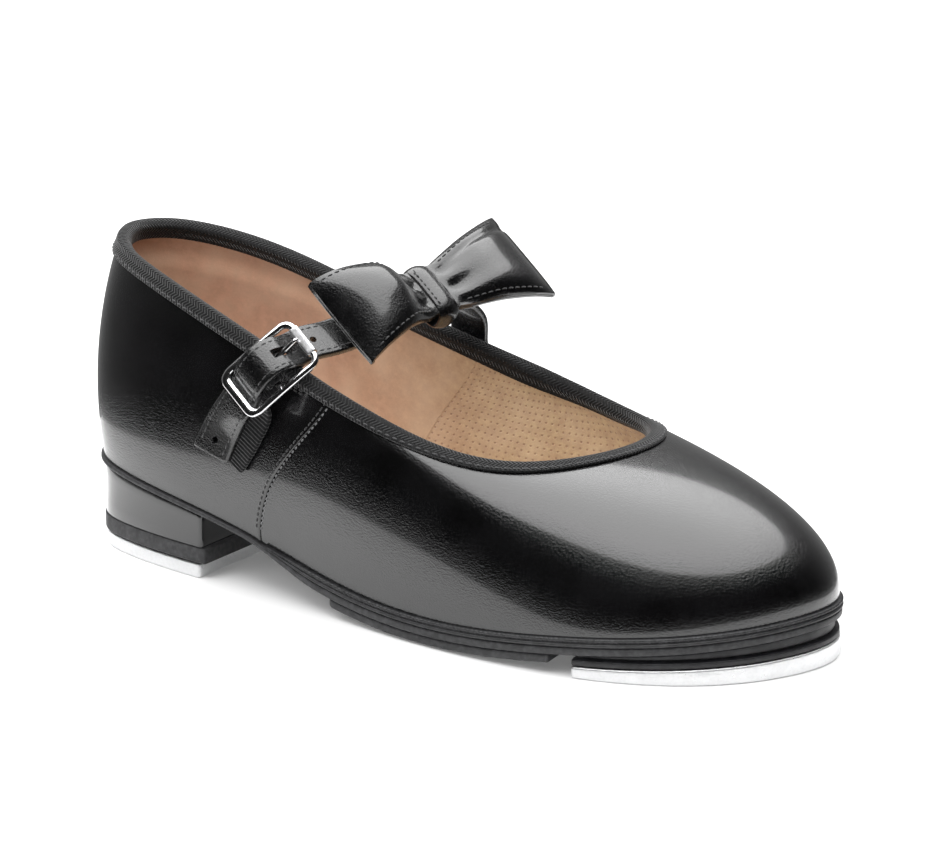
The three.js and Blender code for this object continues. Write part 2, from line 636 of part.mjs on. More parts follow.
const TAIL_SIDE = [0.93, -0.05, -0.37];
const CROWN_SIDE = [0.8, -0.15, -0.57];
const MEDIAL_SIDE = [0.94, 0.12, -0.3];
const QUARTER_SIDE = [0.97, -0.05, -0.22];
const STRAP_STOPS = [
  [offFace(0.3, 0.37, 3.3), TAIL_SIDE],
  [offFace(0.317, 0.54, 3.4), TAIL_SIDE],
  [inBuckle(-9.6, 0, -3.4), CROWN_SIDE],
  [inBuckle(-6.5, 0, -1.6), CROWN_SIDE],
  [inBuckle(-3.2, 0, 2.1), CROWN_SIDE],
  [inBuckle(0, 0, 3.5), CROWN_SIDE],
  [inBuckle(3.2, 0, 2.6), CROWN_SIDE],
  [inBuckle(6, 0, -1), CROWN_SIDE],
  [inBuckle(BUCKLE_FRONT, 0, -3.6), CROWN_SIDE],
  [[69.8, -17.6, 56.4], CROWN_SIDE],
  [[71.8, -9, 57.1], CROWN_SIDE],
  [[73.8, 1, 58.1], CROWN_SIDE],
  [[75.8, 11, 59.35], CROWN_SIDE],
  [[76.2, 17, 58.9], CROWN_SIDE],
  [[76.3, 20.8, 56.4], MEDIAL_SIDE],
  [[76.4, 23.8, 52.8], MEDIAL_SIDE],
  [offFace(1.563, 0.9, 2.9), MEDIAL_SIDE],
  [offFace(1.566, 0.78, 2), MEDIAL_SIDE],
  [offFace(1.572, 0.62, 1.7), MEDIAL_SIDE],
];
const ELASTIC_STOPS = [
  [offFace(0.315, 0.38, 1.15), QUARTER_SIDE],
  [offFace(0.33, 0.55, 1.15), QUARTER_SIDE],
  [offFace(0.349, 0.72, 1.3), CROWN_SIDE],
  [inBuckle(-4.6, 0, -2.7), CROWN_SIDE],
  [inBuckle(-1.2, 0, -1.75), CROWN_SIDE],
  [inBuckle(1.05, 0, -1.35), CROWN_SIDE],
  [inBuckle(1.75, 0, 0), CROWN_SIDE],
  [inBuckle(1.05, 0, 1.35), CROWN_SIDE],
  [inBuckle(-0.6, 0, 1.65), CROWN_SIDE],
  [inBuckle(-2.1, 0, 0.5), CROWN_SIDE],
];

/** Round bar along points, turned to the buckle's frame. */
function bar(points, radius, closed = false, sides = 7) {
  const count = points.length;
  const sections = points.map((p, i) => {
    const before = vector(points[closed ? (i - 1 + count) % count : Math.max(i - 1, 0)]);
    const after = vector(points[closed ? (i + 1) % count : Math.min(i + 1, count - 1)]);
    const tangent = after.sub(before).normalize();
    const helper = Math.abs(tangent.dot(BUCKLE_OUT)) > 0.9 ? BUCKLE_ALONG : BUCKLE_OUT;
    const up = helper.clone().projectOnPlane(tangent).normalize();
    const side = tangent.clone().cross(up);
    return Array.from({ length: sides }, (_, k) => {
      const angle = ((k + 0.5) / sides) * Math.PI * 2;
      return vector(p).addScaledVector(up, Math.cos(angle) * radius)
        .addScaledVector(side, Math.sin(angle) * radius).toArray();
    });
  });
  return skin(sections, closed);
}

function buckleFrame() {
  const corner = 2;
  const ring = [];
  const arc = (cx, cy, start) => {
    for (let k = 0; k <= 4; k += 1) {
      const angle = start + (k / 4) * Math.PI * 0.5;
      ring.push([cx + corner * Math.cos(angle), cy + corner * Math.sin(angle)]);
    }
  };
  const x = BUCKLE_HALF_LENGTH - corner;
  const ahead = BUCKLE_FRONT - BUCKLE_HALF_LENGTH;
  const y = BUCKLE_HALF_WIDTH - corner;
  arc(x, y, 0);
  ring.push([x * 0.5, BUCKLE_HALF_WIDTH], [0, BUCKLE_HALF_WIDTH], [-x * 0.5, BUCKLE_HALF_WIDTH]);
  arc(-x, y, Math.PI / 2);
  arc(-x, -y, Math.PI);
  ring.push([-x * 0.5, -BUCKLE_HALF_WIDTH], [0, -BUCKLE_HALF_WIDTH], [x * 0.5, -BUCKLE_HALF_WIDTH]);
  arc(x, -y, Math.PI * 1.5);
  const placed = ring.map(([a, b]) => inBuckle(a + ahead, b + BUCKLE_ASIDE, buckleBow(a + ahead)));
  const outer = bar(placed, WIRE, true);
  const centre = bar(
    [-BUCKLE_HALF_WIDTH, 0, BUCKLE_HALF_WIDTH].map((b) => inBuckle(0, b + BUCKLE_ASIDE, 0)),
    WIRE,
  );
  return unite(outer, centre);
}

/** Matrix that carries local x, y, z onto the buckle's along, side and out directions. */
function buckleMatrix(along, side, out) {
  return new THREE.Matrix4().makeBasis(BUCKLE_ALONG, BUCKLE_SIDE.clone().negate(), BUCKLE_OUT)
    .setPosition(...inBuckle(along, side, out));
}

function buckleRoller() {
  const shape = new THREE.Shape();
  const halfLong = 1.1;
  const halfHigh = 1.0;
  shape.moveTo(-halfLong, -halfHigh);
  shape.lineTo(halfLong, -halfHigh);
  shape.lineTo(halfLong, halfHigh);
  shape.lineTo(-halfLong, halfHigh);
  shape.closePath();
  const hole = new THREE.Path();
  hole.absarc(0, 0, WIRE + 0.1, 0, Math.PI * 2, true);
  shape.holes.push(hole);
  const length = 7.2;
  const geometry = new THREE.ExtrudeGeometry(shape, { depth: length, bevelEnabled: false, curveSegments: 8 });
  geometry.translate(0, 0, -length / 2).rotateX(Math.PI / 2);
  return geometry.applyMatrix4(buckleMatrix(BUCKLE_FRONT, BUCKLE_ASIDE, buckleBow(BUCKLE_FRONT)));
}

function buckleProng() {
  const ring = new THREE.Shape();
  ring.absarc(0, 0, 1.5, 0, Math.PI * 2, false);
  const hole = new THREE.Path();
  hole.absarc(0, 0, WIRE + 0.18, 0, Math.PI * 2, true);
  ring.holes.push(hole);
  const width = 1.5;
  const geometry = new THREE.ExtrudeGeometry(ring, { depth: width, bevelEnabled: false, curveSegments: 10 });
  geometry.translate(0, 0, -width / 2).rotateX(Math.PI / 2).applyMatrix4(buckleMatrix(0, 0, 0));
  const finger = bar([inBuckle(1.1, 0, 0.45), inBuckle(3, 0, 0.75), inBuckle(5.6, 0, 1),
    inBuckle(7.8, 0, 1.3), inBuckle(BUCKLE_FRONT - 0.4, 0, 1.35)], 0.5);
  return unite(geometry, finger);
}

/** Slot cut square through the strap or elastic, in the buckle's frame. */
function slotTool(along, side, out, length, width, height) {
  return new THREE.BoxGeometry(length, width, height).applyMatrix4(buckleMatrix(along, side, out));
}

const BOW_CENTRE = [75.7, 9.3, 59.2];
const BOW_ALONG = vector([0.236, 0.967, 0.097]).normalize();
const BOW_SIDE = vector(CROWN_SIDE).projectOnPlane(BOW_ALONG).normalize();
const BOW_OUT = BOW_SIDE.clone().cross(BOW_ALONG).normalize();
const inBow = (along, side, out) => vector(BOW_CENTRE).addScaledVector(BOW_ALONG, along)
  .addScaledVector(BOW_SIDE, side).addScaledVector(BOW_OUT, out).toArray();

/** Folded band pinched at its waist: flat wings, fullest midway between waist and ends. */
function bowLoop() {
  const halfWidth = (t) => mix(BOW_WAIST, BOW_HALF_WIDTH, clamp((Math.abs(t) - 0.14) / 0.86, 0, 1) ** 0.9);
  const full = (t) => Math.sin(Math.PI * clamp((Math.abs(t) - 0.14) / 0.86, 0, 1) ** 0.8);
  const rise = (t) => 2.7 + 1.8 * full(t) + 1.2 * t * t;
  const half = (t, s) => 0.7 + (1 - s * s) * (0.4 + 1.9 * full(t));
  const layer = (sign) => across(24, -1, 1).map((t) => across(6, -1, 1).map((s) => {
    const w = halfWidth(t);
    return inBow(t * BOW_HALF_LENGTH, s * w, rise(t) + sign * half(t, s));
  }));
  return between(layer(1), layer(-1));
}

function bowKnot() {
  const outline = new THREE.Shape();
  const halfSide = 6.9;
  const low = -2.6;
  const high = 5.6;
  outline.moveTo(-halfSide, low);
  outline.lineTo(halfSide, low);
  outline.lineTo(halfSide, high);
  outline.lineTo(-halfSide, high);
  outline.closePath();
  const inside = new THREE.Path();
  const wall = 1;
  inside.moveTo(-halfSide + wall, low + wall);
  inside.lineTo(-halfSide + wall, high - wall);
  inside.lineTo(halfSide - wall, high - wall);
  inside.lineTo(halfSide - wall, low + wall);
  inside.closePath();
  outline.holes.push(inside);
  const length = 6.6;
  const geometry = new THREE.ExtrudeGeometry(outline, { depth: length, bevelEnabled: false });
  geometry.translate(0, 0, -length / 2);
  const turn = new THREE.Matrix4().makeBasis(BOW_SIDE, BOW_OUT, BOW_ALONG.clone().negate());
  return geometry.applyMatrix4(turn.setPosition(...BOW_CENTRE));
}

function strap() {
  const prongSlot = slotTool(5, 0, 1.1, 5.6, 2.2, 5);
  return subtract(band(STRAP_STOPS, STRAP_WIDTH, STRAP, 60), [prongSlot]);
}

function elasticLoop() {
  const prongNotch = slotTool(1.2, 0, 0.2, 7, 2.4, 4.6);
  return subtract(band(ELASTIC_STOPS, ELASTIC_WIDTH, ELASTIC, 40), [prongNotch]);
}

// ---------------------------------------------------------------- materials and assembly
const finish = (color, roughness, metalness = 0) => (
  new THREE.MeshStandardMaterial({ color, roughness, metalness })
);
const glossyUpper = finish(0x0b0b0c, 0.28);
const ribbedTape = finish(0x151515, 0.85);
const tanLining = finish(0xa9825c, 0.85);
const stiffener = finish(0xd8cfbe, 0.8);
const fibreBoard = finish(0x8a6a48, 0.85);
const springSteel = finish(0x8c8f92, 0.4, 1);
const cork = finish(0xb08a5c, 0.9);
const soleRubber = finish(0x17181a, 0.6);
const blackBoard = finish(0x101011, 0.75);
const heelWrap = finish(0x0d0d0e, 0.25);
const aluminium = finish(0xd9dadb, 0.38, 1);
const chrome = finish(0xdfe1e3, 0.12, 1);
const elastic = finish(0x141414, 0.8);

const shoe = new THREE.Group();
shoe.position.x = -HEEL_TAP_CENTRE;
function add(name, geometry, material) {
  const mesh = new THREE.Mesh(geometry, material);
  mesh.name = name;
  shoe.add(mesh);
}

add('vamp', vamp, glossyUpper);
add('quarter_lateral', quarterLateral, glossyUpper);
add('quarter_medial', quarterMedial, glossyUpper);
add('topline_binding', toplineBinding(), ribbedTape);
add('vamp_lining', vampLining, tanLining);
add('quarter_lining', quarterLining, tanLining);
add('heel_counter', heelCounter, stiffener);
add('toe_puff', toePuff, stiffener);
add('sock_liner', sockLiner, tanLining);
add('insole_board', subtract(insoleBoard, holesFor(['heel_screw', 'heel_nail'])), fibreBoard);
add('shank', subtract(shank, holesFor(HEEL)), springSteel);
add('bottom_filler', subtract(bottomFiller, holesFor(TOE)), cork);
add('welt', welt, soleRubber);
add('outsole', subtract(outsole, holesFor([...TOE, ...HEEL])), soleRubber);
add('half_sole', halfSole, soleRubber);
add('toe_rubber_wedge', subtract(toeRubber, holesFor(TOE)), blackBoard);
add('toe_tap_board', subtract(toeBoard, holesFor(TOE)), blackBoard);
add('toe_tap', subtract(toeTap, holesFor(TOE)), aluminium);
add('heel_block', subtract(heelBlock, holesFor(HEEL)), heelWrap);
add('heel_top_lift', subtract(heelLift, holesFor(['heel_tap_screw'])), soleRubber);
add('heel_tap', subtract(heelTap, holesFor(['heel_tap_screw'])), aluminium);
for (const { name, at } of fasteners) add(name, turned(...at), springSteel);
add('elastic_loop', elasticLoop(), elastic);
add('buckle_frame', buckleFrame(), chrome);
add('buckle_roller', buckleRoller(), chrome);
add('buckle_prong', buckleProng(), chrome);
add('strap', strap(), glossyUpper);
add('bow_loop', bowLoop(), glossyUpper);
add('bow_knot', bowKnot(), glossyUpper);

export default shoe;
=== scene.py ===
"""Looks of the child's Mary Jane tap shoe: leather, lining, tape, sole, taps, buckle, strap and bow."""
import math

import bmesh
import bpy
import numpy as np
from mathutils import Matrix, Vector


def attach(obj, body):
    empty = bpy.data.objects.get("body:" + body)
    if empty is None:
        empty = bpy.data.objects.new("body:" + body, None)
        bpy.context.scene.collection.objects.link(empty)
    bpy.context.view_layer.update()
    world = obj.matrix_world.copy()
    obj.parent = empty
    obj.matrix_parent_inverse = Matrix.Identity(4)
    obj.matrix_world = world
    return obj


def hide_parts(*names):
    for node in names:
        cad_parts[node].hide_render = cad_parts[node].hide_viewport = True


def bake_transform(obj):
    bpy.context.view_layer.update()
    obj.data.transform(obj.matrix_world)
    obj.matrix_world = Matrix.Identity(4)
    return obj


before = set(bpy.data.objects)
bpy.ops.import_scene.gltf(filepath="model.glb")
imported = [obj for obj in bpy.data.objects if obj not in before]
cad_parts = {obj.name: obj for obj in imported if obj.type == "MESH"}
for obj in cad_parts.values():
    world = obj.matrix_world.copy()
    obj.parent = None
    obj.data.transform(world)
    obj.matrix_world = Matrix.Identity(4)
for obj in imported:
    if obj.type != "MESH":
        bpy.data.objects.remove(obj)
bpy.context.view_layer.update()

# ---------------------------------------------------------------- dimensions, in millimetres
HEEL_TAP_CENTRE = 20        # outlines are measured from the back of the heel; the frame's x = 0 is here
GAP = 0.2
WALL_GAP = 0.3
UPPER = 1.0
LINING = 0.6
STIFFENER = 0.7
BINDING = 0.6
TAPE_DEPTH = 3.1
LASTING_MARGIN = 8
WELT = 1.9
OUTSOLE = 1.6
OUTSOLE_AT_HEEL = 1.0
HALF_SOLE = 1.8
HEEL_BREAST = 41.5
LIFT_TOP = 6.8
LIFT_BOTTOM = 3.5
HEEL_TAP = 3.3
TOE_TAP_REAR = 141
TOE_TAP = 2.4
TOE_TAP_SLOPE = 0.045
TAP_BOARD = 1.3
TAP_EDGE = 0.5
HALF_SOLE_REAR = 80
HALF_SOLE_FRONT = 136
STRAP_WIDTH = 8.6
STRAP = 1.8
ELASTIC_WIDTH = 9.2
ELASTIC = 1.0
WIRE = 0.7
BUCKLE_HALF_LENGTH = 8.9
BUCKLE_FRONT = 9.65
BUCKLE_HALF_WIDTH = 5.75
BUCKLE_ASIDE = 0.45
SEAM_AT_SOLE, SEAM_AT_RIM = 0.345, 0.452    # the side seam's shares of the way from heel to toe
SEAM_SWEEP = 0.017
SEAM_GAP = 0.0002
SIDE_LENGTH = 205           # of the sole's edge from heel to toe
SOLE_HALF_WIDTH = 34
SKIN_EDGE = 0.4             # radius of a cut leather edge
SOCK_UNDER, SOCK_OVER = 2.0, 2.8    # heights over the lasted upper
WELT_START = 60
WELT_NOTCH = 1.1
TAPE_RIB = 0.85
SCREW_CORE = 1.2
STRAP_CORNER, STRAP_CROWN = 0.5, 0.12
ELASTIC_CORNER = 0.35

# Sewn thread: pitch, length of one stitch, radius.
SEAM_THREAD = 1.45, 1.05, 0.15
EDGE_TICKS = 1.3, 0.75, 0.17
TAPE_THREAD = 1.9, 1.3, 0.14
STRAP_THREAD = 1.7, 1.25, 0.15
BOW_THREAD = 1.6, 1.15, 0.15
KNOT_THREAD = 1.3, 0.95, 0.14

# The shoe's outlines, the same as the frame's: sole edge and rim seen from above, then heights.
FEATHER_LINE = [
    [1, -3.5], [6, -14.5], [11, -20], [28, -24.5], [47, -26.5], [67, -28.5], [89, -32.5], [110, -34.8],
    [130, -34.8], [147.5, -32.2], [162.5, -25.5], [174.5, -14], [181, 2.5], [177.5, 13], [168, 21],
    [153.5, 27.5], [133, 31], [114, 29], [95, 24], [72, 21.5], [50, 21.5], [28, 22.5], [11, 18.5], [0, 10],
]
TOP_LINE = [
    [3.5, -2.5], [8, -11], [22.5, -17.5], [39.5, -22], [59.5, -25.2], [80, -28], [100, -28.5], [118, -23],
    [131, -7], [133.5, 10], [123.5, 23.5], [103, 26.5], [82, 22], [60, 19], [40, 19], [22, 17.5], [7.5, 12],
    [3, 3],
]
SOLE_HEIGHTS = [[0, 21], [20, 18.6], [40, 16], [60, 12.2], [80, 8.2], [100, 6.4], [120, 6.9],
                [140, 8.7], [160, 10.5], [184, 13]]
RIM_HEIGHTS = [[0, 67.5], [30, 62], [60, 53.8], [90, 44.8], [120, 38], [132, 38.3]]
FULLNESS = [[0, 2, 2, 1.7], [0.25, 2, 2.1, 1.9], [0.5, 2.8, 2.8, 1.6], [0.75, 1.8, 1.7, 0.2],
            [1, 2.1, 2, 1]]
WALL_SWEEP = 0.4 * math.pi
REAR_SPREAD = 1.45


# ---------------------------------------------------------------- curves
OUTLINE_POINTS = 6400
OUTLINE_STEP = 0.5


def mix(a, b, t):
    """From a to b by a share t."""
    return a + (b - a) * t


def smooth(low, high, x):
    """Eased step from 0 at low to 1 at high."""
    t = np.clip((np.asarray(x, float) - low) / (high - low), 0, 1)
    return t * t * (3 - 2 * t)


def unit(v):
    v = np.asarray(v, float)
    return v / np.maximum(np.linalg.norm(v, axis=-1, keepdims=True), 1e-12)


def natural_spline(pairs):
    """Natural cubic spline through [x, y] pairs, level beyond its ends."""
    x, y = np.array(pairs, float).T
    step = np.diff(x)
    system = np.eye(len(x))
    rhs = np.zeros(len(x))
    for i in range(1, len(x) - 1):
        system[i, i - 1:i + 2] = step[i - 1], 2 * (step[i - 1] + step[i]), step[i]
        rhs[i] = 6 * ((y[i + 1] - y[i]) / step[i] - (y[i] - y[i - 1]) / step[i - 1])
    curve = np.linalg.solve(system, rhs)

    def value(at):
        t = np.clip(at, x[0], x[-1])
        i = np.clip(np.searchsorted(x, t, side="left") - 1, 0, len(x) - 2)
        h, a, b = step[i], x[i + 1] - t, t - x[i]
        return ((curve[i] * a ** 3 + curve[i + 1] * b ** 3) / (6 * h)
                + (y[i] / h - curve[i] * h / 6) * a + (y[i + 1] / h - curve[i + 1] * h / 6) * b)
    return value


def closed_b_spline(control):
    """Points along the closed uniform cubic B-spline of some control points."""
    control = np.array(control, float)
    s = np.arange(OUTLINE_POINTS) / OUTLINE_POINTS * len(control)
    i = np.floor(s).astype(int)
    t = s - i
    weights = [(1 - t) ** 3, 3 * t ** 3 - 6 * t ** 2 + 4, -3 * t ** 3 + 3 * t ** 2 + 3 * t + 1, t ** 3]
    return sum(w[:, None] / 6 * control[(i + k - 1) % len(control)] for k, w in enumerate(weights))


def split_sides(points):
    """The outer and the inner side of a closed outline, each from heel to toe."""
    points = np.roll(points, -points[:, 0].argmin(), axis=0)
    toe = points[:, 0].argmax()
    return points[:toe + 1], np.vstack([points[toe:], points[:1]])[::-1]


def running_length(points):
    return np.concatenate([[0], np.cumsum(np.linalg.norm(np.diff(points, axis=0), axis=1))])


def along(points, length, at):
    return np.stack([np.interp(at, length, points[:, k]) for k in range(points.shape[1])], -1)


def smooth_curve(stops, t):
    """Centripetal Catmull-Rom curve through stops, at shares t of its spans."""
    stops = np.array(stops, float)
    ends = [2 * stops[0] - stops[1], *stops, 2 * stops[-1] - stops[-2]]
    ends = np.array(ends)
    place = np.clip(np.asarray(t, float), 0, 1) * (len(stops) - 1)
    i = np.minimum(place.astype(int), len(stops) - 2)
    w = (place - i)[:, None]
    p0, p1, p2, p3 = (ends[i + k] for k in range(4))
    d0, d1, d2 = (np.sqrt(np.linalg.norm(b - a, axis=1, keepdims=True)) + 1e-9
                  for a, b in ((p0, p1), (p1, p2), (p2, p3)))
    m1 = ((p1 - p0) / d0 - (p2 - p0) / (d0 + d1) + (p2 - p1) / d1) * d1
    m2 = ((p2 - p1) / d1 - (p3 - p1) / (d1 + d2) + (p3 - p2) / d2) * d1
    return (p1 + m1 * w + (3 * (p2 - p1) - 2 * m1 - m2) * w ** 2
            + (2 * (p1 - p2) + m1 + m2) * w ** 3)


def even_curve(stops, spacing):
    """Points every `spacing` along the smooth curve through stops, and their shares of its spans."""
    t = np.linspace(0, 1, 2000)
    fine = smooth_curve(stops, t)
    length = running_length(fine)
    at = np.linspace(0, length[-1], max(2, round(length[-1] / spacing) + 1))
    share = np.interp(at, length, t)
    return smooth_curve(stops, share), share, at


def refine(grid, count):
    """Closed grid resampled to `count` rows by cubic interpolation along its first axis."""
    rows = len(grid)
    s = np.arange(count) / count * rows
    i = np.floor(s).astype(int)
    t = (s - i)[:, None, None]
    p0, p1, p2, p3 = (grid[(i + k) % rows] for k in (-1, 0, 1, 2))
    return (p1 + 0.5 * t * (p2 - p0 + t * (2 * p0 - 5 * p1 + 4 * p2 - p3
            + t * (3 * (p1 - p2) + p3 - p0))))


# ---------------------------------------------------------------- the upper's surface
sole_height = natural_spline(SOLE_HEIGHTS)
rim_height = natural_spline(RIM_HEIGHTS)
fullness = [natural_spline([[f[0], f[k]] for f in FULLNESS]) for k in (1, 2, 3)]
feather_sides = split_sides(closed_b_spline(FEATHER_LINE))
feather_lengths = [running_length(side) for side in feather_sides]
rim_sides = split_sides(closed_b_spline(TOP_LINE))
FEATHER_BACK, FEATHER_TOE = feather_sides[0][0, 0], feather_sides[0][-1, 0]
RIM_BACK, RIM_FRONT = rim_sides[0][0, 0], rim_sides[0][-1, 0]
WALL_STEPS = np.linspace(0, WALL_SWEEP, 97)


def feather(u):
    """Point of the sole edge and its outward direction. u runs 0 to 1 from heel to toe on the outer
    side and 1 to 2 back on the inner side."""
    turn = np.mod(u, 2)
    outer = turn <= 1
    share = np.where(outer, turn, 2 - turn)
    points, outs = [], []
    for side, length, sign in zip(feather_sides, feather_lengths, (1, -1)):
        total = length[-1]
        points.append(along(side, length, share * total))
        ahead = along(side, length, np.minimum(share * total + 0.4, total))
        behind = along(side, length, np.maximum(share * total - 0.4, 0))
        run = unit(ahead - behind)
        out = np.stack([sign * run[..., 1], -sign * run[..., 0]], -1)
        out[share < 1e-6] = -1, 0
        out[share > 1 - 1e-6] = 1, 0
        outs.append(out)
    pick = outer[..., None]
    return np.where(pick, points[0], points[1]), np.where(pick, outs[0], outs[1])


def wall_points(foot, out, top, powers, push, angle):
    lean = (1 - np.cos(angle) ** powers[0]) / (1 - math.cos(WALL_SWEEP) ** powers[0])
    rise = (np.sin(angle) / math.sin(WALL_SWEEP)) ** powers[1]
    low, high = sole_height(foot[:, :1]), rim_height(top[:, :1])
    bulge = push * 4 * rise * (1 - rise)
    return np.stack([mix(foot[:, :1], top[:, :1], lean) + out[:, :1] * bulge,
                     mix(foot[:, 1:], top[:, 1:], lean) + out[:, 1:] * bulge,
                     mix(low, high, rise)], -1)


def face(u, v):
    """Points of the upper's outer face. v runs 0 at the sole to 1 at the rim, by length."""
    u, v = np.broadcast_arrays(np.asarray(u, float), np.asarray(v, float))
    shape, u, v = u.shape, u.ravel(), np.clip(v.ravel(), 0, 1)
    result = np.empty((len(u), 3))
    for start in range(0, len(u), 8000):
        part = slice(start, start + 8000)
        foot, out = feather(u[part])
        place = np.clip((foot[:, 0] - FEATHER_BACK) / (FEATHER_TOE - FEATHER_BACK), 0, 1)
        rim_place = np.clip(REAR_SPREAD * place + (1 - REAR_SPREAD) * place ** 2, 0, 1)
        angle = np.arccos(np.clip(1 - 2 * rim_place, -1, 1))
        tops = []
        for side in rim_sides:
            turned = np.arccos(np.clip(1 - 2 * (side[:, 0] - RIM_BACK) / (RIM_FRONT - RIM_BACK), -1, 1))
            tops.append(along(side, turned, angle))
        top = np.where((np.mod(u[part], 2) <= 1)[:, None], tops[0], tops[1])
        powers = [(2 / fullness[k](place))[:, None] for k in (0, 1)]
        shape_of = (foot, out, top, powers, fullness[2](place)[:, None])
        wall = wall_points(*shape_of, WALL_STEPS[None, :])
        length = np.cumsum(np.linalg.norm(np.diff(wall, axis=1), axis=2), axis=1)
        length = np.hstack([np.zeros((len(foot), 1)), length])
        wanted = v[part] * length[:, -1]
        index = np.clip((length <= wanted[:, None]).sum(1) - 1, 0, len(WALL_STEPS) - 2)
        rows = np.arange(len(foot))
        before, after = length[rows, index], length[rows, index + 1]
        share = np.clip((wanted - before) / (after - before), 0, 1)
        angle = mix(WALL_STEPS[index], WALL_STEPS[index + 1], share)
        result[part] = wall_points(*shape_of, angle[:, None])[:, 0]
    return result.reshape(*shape, 3)


def face_normal(u, v):
    u, v = np.broadcast_arrays(np.asarray(u, float), np.asarray(v, float))
    low = np.clip(v, 0.01, 0.99)
    run = face(u + 0.004, v) - face(u - 0.004, v)
    rise = face(u, low + 0.01) - face(u, low - 0.01)
    return unit(np.cross(run, rise))


def off_face(u, v, distance):
    """Points at a distance outside (+) or inside (-) the upper's outer face."""
    return face(u, v) + face_normal(u, v) * np.asarray(distance, float)[..., None]


def seam(v):
    """Place of the side seam along the shoe at each height."""
    return mix(SEAM_AT_SOLE, SEAM_AT_RIM, np.asarray(v, float) ** 1.5) + SEAM_SWEEP * smooth(0.3, 1.0, v)


def skin_row(u, v, rise=0.0):
    """Line on the upper at a distance off it, with its outward directions."""
    u, v = np.broadcast_arrays(u, v)
    return off_face(u, v, rise + 0 * u), face_normal(u, v)


# ---------------------------------------------------------------- meshes
def in_frame(points):
    moved = np.array(points, float)
    moved[..., 0] -= HEEL_TAP_CENTRE
    return moved * 0.001


def make_piece(name, points, faces, material, surface=None, sharp=40, weld=True):
    """Mesh object from points in millimetres; `surface` holds each point's own flat coordinates."""
    mesh = bpy.data.meshes.new(name)
    points = in_frame(np.asarray(points, float).reshape(-1, 3))
    mesh.from_pydata(points.tolist(), [], [tuple(f) for f in faces])
    if surface is not None:
        layer = mesh.attributes.new("surface", "FLOAT_VECTOR", "POINT")
        layer.data.foreach_set("vector", np.asarray(surface, np.float32).reshape(-1))
    if weld:
        work = bmesh.new()
        work.from_mesh(mesh)
        bmesh.ops.remove_doubles(work, verts=work.verts, dist=1e-6)
        bmesh.ops.dissolve_degenerate(work, edges=work.edges, dist=1e-7)
        bmesh.ops.recalc_face_normals(work, faces=work.faces)
        work.to_mesh(mesh)
        work.free()
    mesh.shade_smooth()
    mesh.set_sharp_from_angle(angle=math.radians(sharp))
    piece = bpy.data.objects.new(name, mesh)
    bpy.context.scene.collection.objects.link(piece)
    mesh.materials.append(material)
    return piece


def quads(rows, columns, first=0, close_rows=False, close_columns=False):
    i = np.arange(rows if close_rows else rows - 1)[:, None]
    j = np.arange(columns if close_columns else columns - 1)[None, :]
    n, m = (i + 1) % rows, (j + 1) % columns
    corners = [i * columns + j, n * columns + j, n * columns + m, i * columns + m]
    return first + np.stack([np.broadcast_to(c, (i.size, j.size)) for c in corners], -1).reshape(-1, 4)


def shell(name, outside, inside, material, closed=False, surface=None, sharp=40):
    """Solid between two matching grids, which may close on themselves along the first axis."""
    rows, columns = outside.shape[:2]
    inside_first = rows * columns
    faces = [quads(rows, columns, 0, closed), quads(rows, columns, inside_first, closed)[:, ::-1]]
    index = np.arange(rows * columns).reshape(rows, columns)
    edges = [index[:, 0], index[:, -1]]
    for edge in edges:
        a = np.append(edge, edge[0]) if closed else edge
        faces.append(np.stack([a[:-1], a[1:], a[1:] + inside_first, a[:-1] + inside_first], -1))
    if not closed:
        for a in (index[0], index[-1]):
            faces.append(np.stack([a[:-1], a[1:], a[1:] + inside_first, a[:-1] + inside_first], -1))
    flat = None if surface is None else np.concatenate([surface.reshape(-1, 3)] * 2)
    points = np.concatenate([outside.reshape(-1, 3), inside.reshape(-1, 3)])
    return make_piece(name, points, np.concatenate(faces), material, flat, sharp)


def tube_part(sections, closed=False):
    """Points and faces of a skin through closed sections; open ones get flat ends."""
    rows, sides = sections.shape[:2]
    faces = quads(rows, sides, 0, closed, True).tolist()
    if not closed:
        faces += [list(range(sides))[::-1], list(range((rows - 1) * sides, rows * sides))]
    return sections.reshape(-1, 3), faces


def tube(name, sections, material, closed=False, surface=None, sharp=40):
    points, faces = tube_part(sections, closed)
    return make_piece(name, points, faces, material, surface, sharp)


def unite_parts(name, parts, material, sharp=40):
    """One piece out of several closed parts, each given as (points, faces)."""
    points, faces, first = [], [], 0
    for part_points, part_faces in parts:
        points.append(part_points)
        faces.extend([[k + first for k in f] for f in part_faces])
        first += len(part_points)
    return make_piece(name, np.concatenate(points), faces, material, None, sharp, weld=False)


def frames_along(path, helper, closed=False):
    """Side and out directions along a path; out leans towards helper."""
    ahead = np.roll(path, -1, 0) - np.roll(path, 1, 0)
    if not closed:
        ahead[0], ahead[-1] = path[1] - path[0], path[-1] - path[-2]
    tangent = unit(ahead)
    helper = np.broadcast_to(helper, tangent.shape)
    side = unit(np.cross(helper, tangent))
    return side, np.cross(tangent, side)


